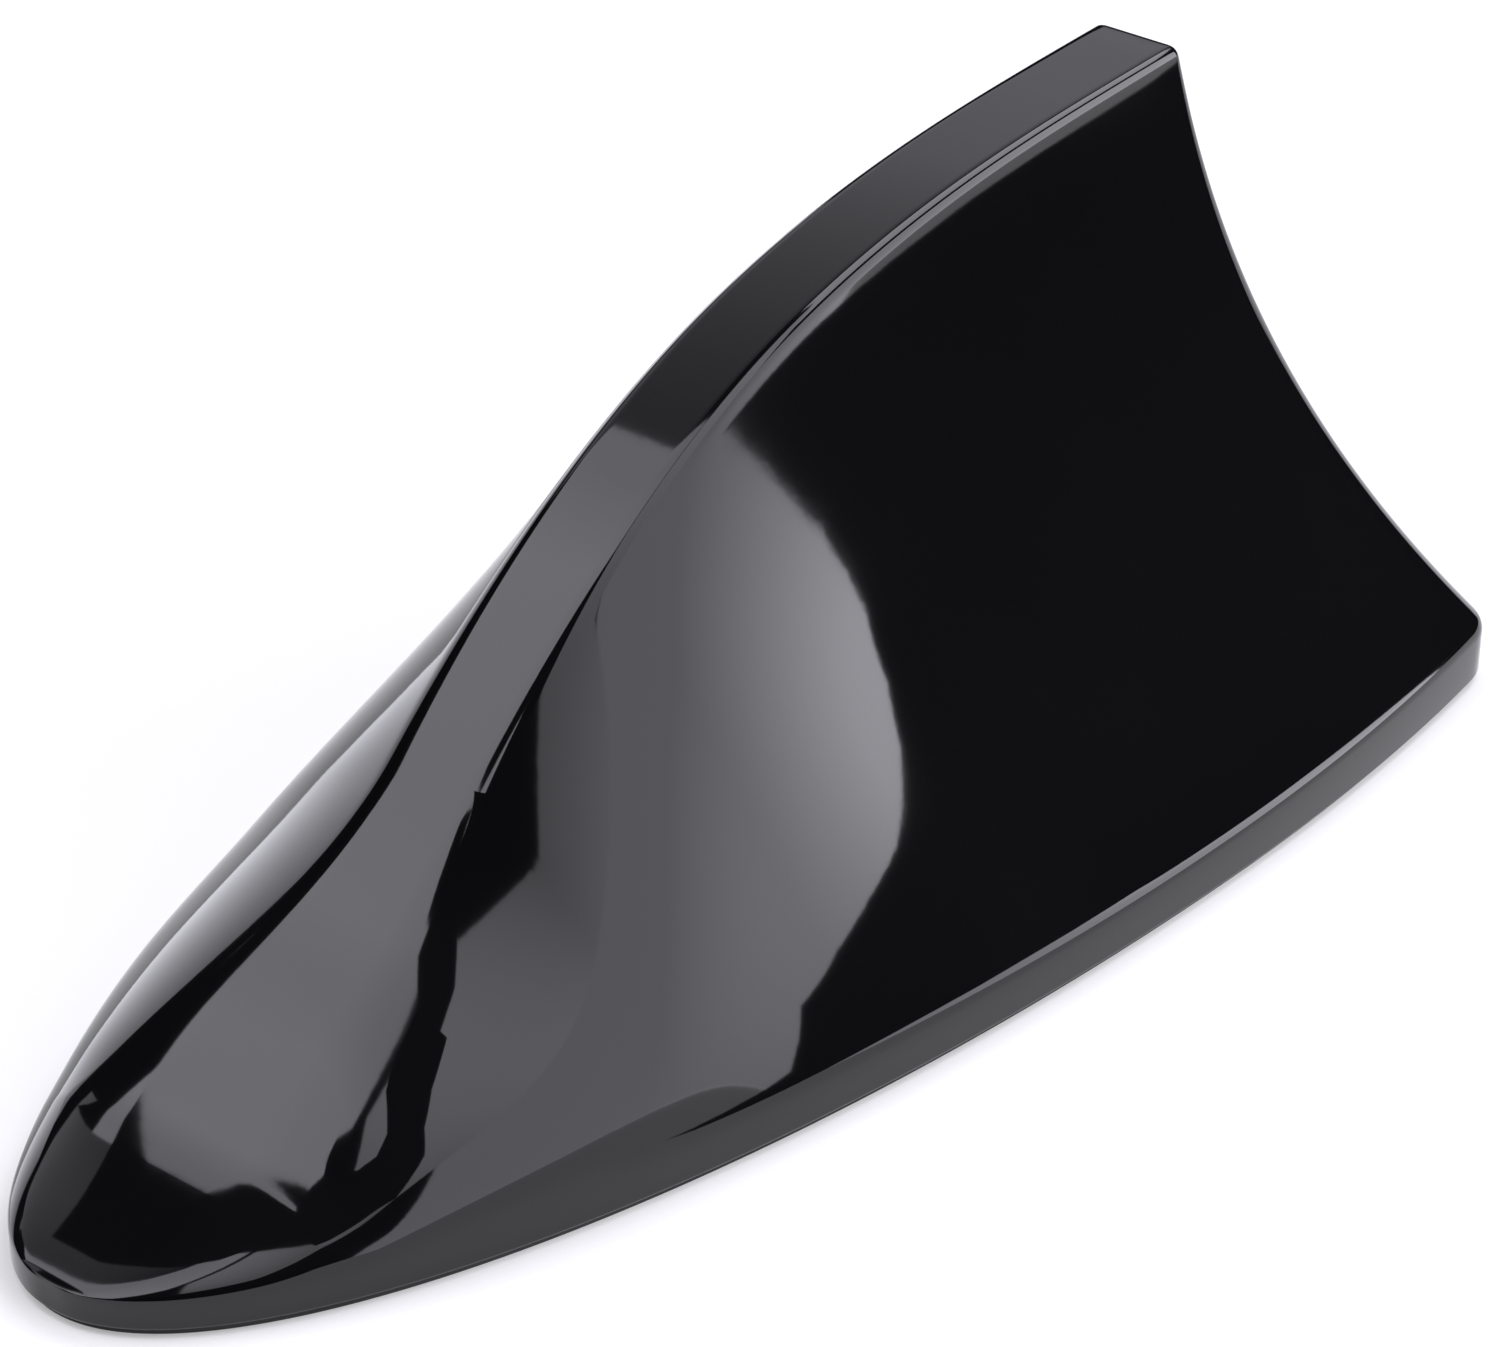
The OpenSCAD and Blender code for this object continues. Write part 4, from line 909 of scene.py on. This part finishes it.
@finish(0.10, rough=(0.55, 0.75), grain=(1400.0, 0.02 * MM), wear=(0.035, 0.035, 0.036))
def seal_rubber(tree, colour):
    """Matt black rubber with a fine skin and paler bloom in soft clouds."""
    return {}


@finish(0.08, rough=(0.7, 0.95))
def tape_foam(tree, colour):
    """Dark acrylic foam: closed cells that pit the surface and its cut edge, with painted shade in the
    pits.
    """
    cells = cell_pattern(tree, 2600.0)["Distance"]
    pit_shade = between(tree, cells, 0.1, 0.5)
    # Painted shade: the colour darkens from the rim of each cell towards its middle, where the pit sinks.
    return {"Base Color": blend_colour(tree, pit_shade, (0.03, 0.031, 0.033), colour),
            "Normal": relief(tree, cells, 0.06 * MM)}


@finish(0.06, rough=(0.42, 0.6), grain=(2600.0, 0.04 * MM), wear=(0.06, 0.06, 0.063))
def base_plastic(tree, colour):
    """Black moulding with an even spark grain and lightly rubbed edges."""
    return {}


@finish(0.10, rough=(0.26, 0.44), grain=(1500.0, 0.006 * MM), wear=(0.78, 0.79, 0.80), metal=1.0)
def plated_steel(tree, colour):
    """Zinc plated steel: cloudy grey with bright edges."""
    return {}


@finish(0.05, wear=(0.86, 0.86, 0.84), metal=1.0)
def tinned_steel(tree, colour):
    """Tinned sheet: rolling lines in its shine and its surface, and bright edges."""
    lines = drawn_lines(tree)["Value"]
    return {"Roughness": between(tree, lines, *NOISE_RANGE, 0.20, 0.42),
            "Normal": relief(tree, lines, DRAWN_DEPTH)}


@finish(0.06, rough=(0.28, 0.42))
def board_green(tree, colour):
    """Green solder mask over raised copper tracks, with gold coloured through holes."""
    tracks = cell_pattern(tree, BOARD_CELLS, 0.7, "DISTANCE_TO_EDGE")
    line = between(tree, tracks["Distance"], 0.10, 0.06)
    holes = dust_specks(tree, Scale=BOARD_CELLS, Size=0.10, Share=0.25)["Mask"]
    green = blend_colour(tree, line, colour, (0.05, 0.25, 0.11))
    return {"Base Color": blend_colour(tree, holes, green, (0.62, 0.45, 0.16)), "Metallic": holes,
            "Normal": relief(tree, line, 0.035 * MM)}


@finish(0.05, rough=(0.45, 0.6), grain=(2400.0, 0.02 * MM))
def chip_black(tree, colour):
    """Moulded black resin body with tinned legs, told apart by their distance from the middle."""
    legs = maths(tree, "GREATER_THAN", maths(tree, "ABSOLUTE", axis_place(tree, 1)), CHIP_HALF)
    return {"Base Color": blend_colour(tree, legs, colour, (0.66, 0.66, 0.64)), "Metallic": legs}


@finish(0.12, rough=(0.35, 0.5), grain=(2000.0, 0.01 * MM))
def ceramic_tan(tree, colour):
    """Fired ceramic bodies with tinned ends: the ends lie furthest from the even places along X."""
    away = maths(tree, "PINGPONG", maths(tree, "SUBTRACT", axis_place(tree, 0), CAN_PLACE),
                 CERAMIC_PITCH / 2)
    ends = maths(tree, "GREATER_THAN", away, CERAMIC_BODY)
    return {"Base Color": blend_colour(tree, ends, colour, (0.7, 0.69, 0.66)), "Metallic": ends}


@finish(0.08, rough=(0.22, 0.34), grain=(1100.0, 0.008 * MM))
def sleeve_blue(tree, colour):
    """Shrunk blue sleeve with a pale stripe down one side, open over a bright top."""
    stripe = maths(tree, "GREATER_THAN", axis_place(tree, 0), CAN_PLACE + STRIPE_AWAY)
    top = maths(tree, "GREATER_THAN", axis_place(tree, 2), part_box("filter_capacitor")[1].z - SLEEVE_LIP)
    striped = blend_colour(tree, stripe, colour, (0.50, 0.52, 0.56))
    return {"Base Color": blend_colour(tree, top, striped, (0.75, 0.75, 0.76)), "Metallic": top}


@finish(0.12, rough=(0.18, 0.32), grain=(1600.0, 0.004 * MM), metal=1.0)
def coil_copper(tree, colour):
    """Enamelled copper wire: deep orange metal that darkens in clouds, under a glossy coat."""
    return {"Coat Weight": 0.6}


@finish(0.12, rough=(0.2, 0.35), slot="coil_copper")
def wound_drum(tree, colour):
    """Drum of dark ferrite whose neck carries turns of fine copper wire, one above the other."""
    up = axis_place(tree, 2)
    low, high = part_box("tuning_coils")[0].z + DRUM_RIM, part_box("tuning_coils")[1].z - DRUM_RIM
    neck = maths(tree, "MULTIPLY", maths(tree, "GREATER_THAN", up, low),
                 maths(tree, "LESS_THAN", up, high))
    turn = maths(tree, "MULTIPLY", maths(tree, "PINGPONG", up, FINE_WIRE / 2), 2 / FINE_WIRE)
    return {"Base Color": blend_colour(tree, neck, (0.05, 0.048, 0.046), colour), "Metallic": neck,
            "Normal": relief(tree, maths(tree, "MULTIPLY", turn, neck), FINE_WIRE / 3)}


@finish(0.14, rough=(0.2, 0.36), wear=(0.80, 0.66, 0.38), metal=1.0)
def terminal_brass(tree, colour):
    """Bright brass with drawing lines and a little tarnish."""
    return {"Normal": relief(tree, drawn_lines(tree, Scale=3200.0)["Value"], DRAWN_DEPTH)}


@finish(0.05, rough=(0.38, 0.55), grain=(1900.0, 0.015 * MM), wear=(0.80, 0.78, 0.71))
def holder_plastic(tree, colour):
    """Natural moulded plastic: warm white with soft clouds and a fine grain."""
    return {}


@finish(0.10, rough=(0.8, 0.98))
def pad_foam(tree, colour):
    """Open cell foam: round cells whose walls stand up, with painted shade in the hollows between them.
    """
    cells = cell_pattern(tree, 1700.0, feature="DISTANCE_TO_EDGE")["Distance"]
    wall = between(tree, cells, 0.12, 0.03)
    # Painted shade: the colour darkens away from the cell walls, into the hollow of each cell.
    return {"Base Color": blend_colour(tree, wall, (0.02, 0.02, 0.022), colour),
            "Normal": relief(tree, wall, 0.08 * MM)}


def seen_directly(tree):
    """One where a ray comes from the camera, a reflection or a clear body, else nothing."""
    path = tree.nodes.new("ShaderNodeLightPath").outputs
    straight = maths(tree, "ADD", path["Is Camera Ray"], path["Is Glossy Ray"])
    return maths(tree, "ADD", straight, path["Is Transmission Ray"], clamp=True)


def matt(name, shade):
    """A flat grey for the stage."""
    material, tree, shader = new_material(name)
    give(shader, {"Base Color": (shade, shade, shade, 1), "Roughness": 1.0, "Specular IOR Level": 0.0})
    return material, tree, shader


def floor_white():
    """The floor: it casts back the lamps' light, and glows a little where it is seen, so that it
    meets the white behind it."""
    material, tree, shader = matt("floor_white", FLOOR_SHADE)
    give(shader, {"Emission Color": (1, 1, 1, 1),
                  "Emission Strength": maths(tree, "MULTIPLY", seen_directly(tree), FLOOR_LIFT)})
    return material


def fade(lamp, low, high, start, end):
    """Lets a lamp's brightness run evenly from one value at one place to another at the next."""
    lamp.use_nodes = True
    tree = lamp.node_tree
    start, end = Vector(start), Vector(end)
    run = end - start
    along = along_run(tree, tree.nodes.new("ShaderNodeNewGeometry").outputs["Position"], run)
    glow = between(tree, along, run.dot(start), run.dot(end), low, high)
    give(tree.nodes["Emission"], {"Strength": glow})


def cut_card(name, outlines, material):
    """Flat stage cards, one for each outline, whose corners are given in order."""
    points = [point for outline in outlines for point in outline]
    starts = np.cumsum([0] + [len(outline) for outline in outlines])
    mesh = bpy.data.meshes.new(name)
    mesh.from_pydata(points, [], [list(range(*ends)) for ends in zip(starts[:-1], starts[1:])])
    mesh.materials.append(material)
    return added(name, mesh)


class AERIAL_OT_cover(bpy.types.Operator):
    """Build the glossy cover: outer and inner skin joined round the foot, screw bosses and ribs"""

    bl_idname = "aerial.cover"
    bl_label = "Cover"

    def execute(self, context):
        c, b, f = context.scene.aerial_cover, context.scene.aerial_base, context.scene.aerial_finish
        shift = -middle_of(c)
        offset = np.array([shift, 0, 0])
        grids, feet = [], []
        for inset, *steps in ((0.0, c.edge_steps, c.flank_steps),
                              (c.wall, INNER_EDGE_STEPS, INNER_FLANK_STEPS)):
            ring, tail, nose = skin = [sheet + offset
                                       for sheet in cover_skin(inset, *steps, c, foot_height())]
            feet.append((ring[:, -1], ring[:, 0], tail[-1], nose[-1]))
            grids += skin
        grids += [np.stack(borders, 1) for borders in zip(*feet)]
        inner_skin = np.concatenate([sheet.reshape(-1, 3) for sheet in skin], 0)
        floor = b.seal + b.plate
        for x, y in boss_places(c, b):
            grids += boss_tube((x + shift, y), floor + SEATED, inner_skin, b)
            if y != 0:
                grids += web_plate((x + shift, y), floor + b.web_gap, inner_skin, b)
        grids += long_rib(b.boss_front, c.climb_x + b.rib_run, c, b, shift)
        dress(mesh_of("cover_shell", grids), gloss_black(f), "cover")
        return {"FINISHED"}


class AERIAL_OT_sealing(bpy.types.Operator):
    """Build the rubber seal under the lip and finish the foam tape and the lead's grommet"""

    bl_idname = "aerial.sealing"
    bl_label = "Seal, tape and grommet"

    def execute(self, context):
        c, b = context.scene.aerial_cover, context.scene.aerial_base
        r, bevel, leg = SEAL_ROUND, SEAL_BEVEL * SEAL_ROUND, c.wall + b.slip
        top = b.seal + b.leg_height
        profile = [(b.seal_inset + r, 0.0), (b.seal_inset + bevel, bevel), (b.seal_inset, r),
                   (b.seal_inset, b.seal - r), (b.seal_inset + bevel, b.seal - bevel),
                   (b.seal_inset + r, b.seal), (leg, b.seal), (leg, top - r), (leg + r, top),
                   (leg + b.leg_width - r, top), (leg + b.leg_width, top - r),
                   (leg + b.leg_width, r), (leg + b.leg_width - r, 0.0)]
        ring = ring_swept(profile, c, -middle_of(c))
        dress(mesh_of("seal_ring", [ring]), seal_rubber(), "edge_seal")
        paint(tape_foam(), "adhesive_tape")
        paint(seal_rubber(), "lead_grommet")
        return {"FINISHED"}


class AERIAL_OT_base(bpy.types.Operator):
    """Finish the base plate and the earth plate that lies on it"""

    bl_idname = "aerial.base"
    bl_label = "Base and earth plate"

    def execute(self, context):
        paint(base_plastic(), "base_plate")
        paint(tinned_steel(), "earth_plate")
        return {"FINISHED"}


class AERIAL_OT_fasteners(bpy.types.Operator):
    """Build the threaded screws of the cover, the board and the coil holder"""

    bl_idname = "aerial.fasteners"
    bl_label = "Screws"

    def execute(self, context):
        c, b = context.scene.aerial_cover, context.scene.aerial_base
        shift, radius = -middle_of(c), b.pilot_radius - SEATED
        grids = [threaded_screw((x + shift, y), b.seal + SEATED, True, radius, b.head_radius,
                                b.head_depth - 2 * SEATED, b.screw_length)
                 for x, y in boss_places(c, b)]
        dress(mesh_of("cover_screw_set", grids), plated_steel(), "cover_screws")
        board_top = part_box("circuit_board")[1].z
        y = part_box("circuit_board")[1].y - b.screw_inset
        for name, x, stack in (("board_screws", b.board_front + b.screw_inset, board_top),
                               ("holder_screws", b.board_front + b.board_length - b.screw_inset,
                                board_top + b.holder_foot + SEATED)):
            face = stack + SEATED + b.small_head_height
            shank = stack - b.seal - b.plate - b.pilot_spare
            grids = [threaded_screw((x + shift, side * y), face, False, radius, b.small_head_radius,
                                    b.small_head_height, shank) for side in (-1, 1)]
            dress(mesh_of(name + "_set", grids), plated_steel(), name)
        return {"FINISHED"}


class AERIAL_OT_receiver(bpy.types.Operator):
    """Finish the circuit board and what is soldered to it"""

    bl_idname = "aerial.receiver"
    bl_label = "Receiver board"

    def execute(self, context):
        paint(board_green(), "circuit_board")
        paint(tinned_steel(), "shield_can")
        paint(chip_black(), "amplifier_chip")
        paint(ceramic_tan(), "chip_capacitors")
        paint(sleeve_blue(), "filter_capacitor")
        paint(wound_drum(), "tuning_coils")
        paint(terminal_brass(), "lead_terminal")
        return {"FINISHED"}


class AERIAL_OT_coil(bpy.types.Operator):
    """Build the round copper coil and finish its holder, its pin, the radiator cap and its clip"""

    bl_idname = "aerial.coil"
    bl_label = "Coil and radiator cap"

    def execute(self, context):
        a = context.scene.aerial_coil
        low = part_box("helical_coil")[0].z + a.wire_low
        axis_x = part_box("coil_pin")[0].x + a.pin_reach + a.coil_radius
        wire = wound_wire(axis_x, a.coil_radius, a.wire_radius, low, low + a.coil_height, a.turns,
                          math.pi)
        dress(mesh_of("coil_wire", [wire]), coil_copper(), "helical_coil")
        paint(terminal_brass(), "coil_pin", "cap_clip")
        paint(holder_plastic(), "coil_holder")
        paint(tinned_steel(), "radiator_cap")
        return {"FINISHED"}


class AERIAL_OT_pad(bpy.types.Operator):
    """Build the foam pad between the radiator cap and the cover"""

    bl_idname = "aerial.pad"
    bl_label = "Foam pad"

    def execute(self, context):
        c, a = context.scene.aerial_cover, context.scene.aerial_coil
        x0 = (a.cap_front + a.cap_rear - a.pad_length) / 2
        under = -WALL_LIFT * (c.wall + a.cap_gap) + a.pad_seat
        over = -WALL_LIFT * c.wall - a.pad_seat
        grid = crowned_pad(x0, x0 + a.pad_length, a.pad_width / 2, under, over, c, -middle_of(c))
        pad = dress(mesh_of("foam_cushion", [grid]), pad_foam(), "foam_pad")
        return {"FINISHED"}


class AERIAL_OT_stage(bpy.types.Operator):
    """Set the camera, the pale floor, the soft lamps and the black flags"""

    bl_idname = "aerial.stage"
    bl_label = "Stage"

    def execute(self, context):
        s = context.scene.aerial_stage
        data = bpy.data.cameras.new("photo_camera")
        data.lens, data.sensor_width = s.lens, SENSOR
        data.clip_start, data.clip_end = CLIP
        camera = added("photo_camera", data)
        camera.location = s.camera_place
        a, e = s.azimuth, s.elevation
        back = Vector((math.sin(a) * math.cos(e), -math.cos(a) * math.cos(e), math.sin(e)))
        camera.rotation_euler = back.to_track_quat("Z", "Y").to_euler()
        context.scene.camera = camera
        context.scene.view_settings.view_transform = "Standard"

        world = bpy.data.worlds.new("studio")
        world.use_nodes = True
        context.scene.world = world
        give(world.node_tree.nodes["Background"], {"Color": (1, 1, 1, 1),
                                                   "Strength": seen_directly(world.node_tree)})
        for name, place, aim, width, height, *glow in LAMPS:
            lamp = bpy.data.lights.new(name, "AREA")
            lamp.shape = "RECTANGLE"
            lamp.size, lamp.size_y = width, height
            lamp.energy = math.pi * width * height * s.lamp_gain
            lamp.color = s.lamp_tint
            fade(lamp, *glow)
            holder = added(name, lamp)
            holder.location = place
            holder.rotation_euler = (Vector(place) - Vector(aim)).to_track_quat("Z", "Y").to_euler()

        r, h = FLOOR_SIZE / 2, ROOM_HEIGHT
        ring = [(-r, -r), (r, -r), (r, r), (-r, r)]
        floor = cut_card("floor", [[(x, y, 0) for x, y in ring]], floor_white())
        walls = [[(*ring[k], 0), (*ring[k - 1], 0), (*ring[k - 1], h), (*ring[k], h)]
                 for k in range(4)] + [[(x, y, h) for x, y in ring]]
        cards = [("dark_room", False, walls)]
        for name, mirrored_only, y, z, outline in FLAGS:
            corners = [(u, y, v) if z is None else (u, v, z) for u, v in outline]
            outlines = [[tuple(place * MM for place in corner) for corner in corners]]
            cards.append((name, mirrored_only, outlines))
        black = matt("flag_black", FLAG_SHADE)[0]
        for name, mirrored_only, outlines in cards:
            flag = cut_card(name, outlines, black)
            flag.visible_camera = False
            flag.visible_diffuse = not mirrored_only
            flag.visible_shadow = not mirrored_only
        return {"FINISHED"}


class AERIAL_PT_sidebar(bpy.types.Panel):
    """Lists the steps that build the aerial, with their sizes and finishes"""

    bl_idname = "AERIAL_PT_sidebar"
    bl_label = "Shark Fin Aerial"
    bl_space_type = "VIEW_3D"
    bl_region_type = "UI"
    bl_category = "Aerial"

    def draw(self, context):
        for step in STEPS:
            self.layout.operator(step.bl_idname)
        for name, group in SETTINGS.items():
            box = self.layout.box()
            box.label(text=group.__doc__)
            for key in group.__annotations__:
                box.prop(getattr(context.scene, name), key)


STEPS = [AERIAL_OT_cover, AERIAL_OT_sealing, AERIAL_OT_base, AERIAL_OT_fasteners, AERIAL_OT_receiver,
         AERIAL_OT_coil, AERIAL_OT_pad, AERIAL_OT_stage]
SETTINGS = {"aerial_cover": AerialCoverSettings, "aerial_base": AerialBaseSettings,
            "aerial_coil": AerialCoilSettings, "aerial_finish": AerialFinishSettings,
            "aerial_stage": AerialStageSettings}


def register():
    for kind in [*SETTINGS.values(), *STEPS, AERIAL_PT_sidebar]:
        bpy.utils.register_class(kind)
    for name, group in SETTINGS.items():
        setattr(bpy.types.Scene, name, PointerProperty(type=group))


def unregister():
    for name in SETTINGS:
        delattr(bpy.types.Scene, name)
    for kind in reversed([*SETTINGS.values(), *STEPS, AERIAL_PT_sidebar]):
        bpy.utils.unregister_class(kind)


def main():
    register()
    for step in STEPS:
        kind, name = step.bl_idname.split(".")
        getattr(getattr(bpy.ops, kind), name)()


if __name__ == "__main__":
    main()
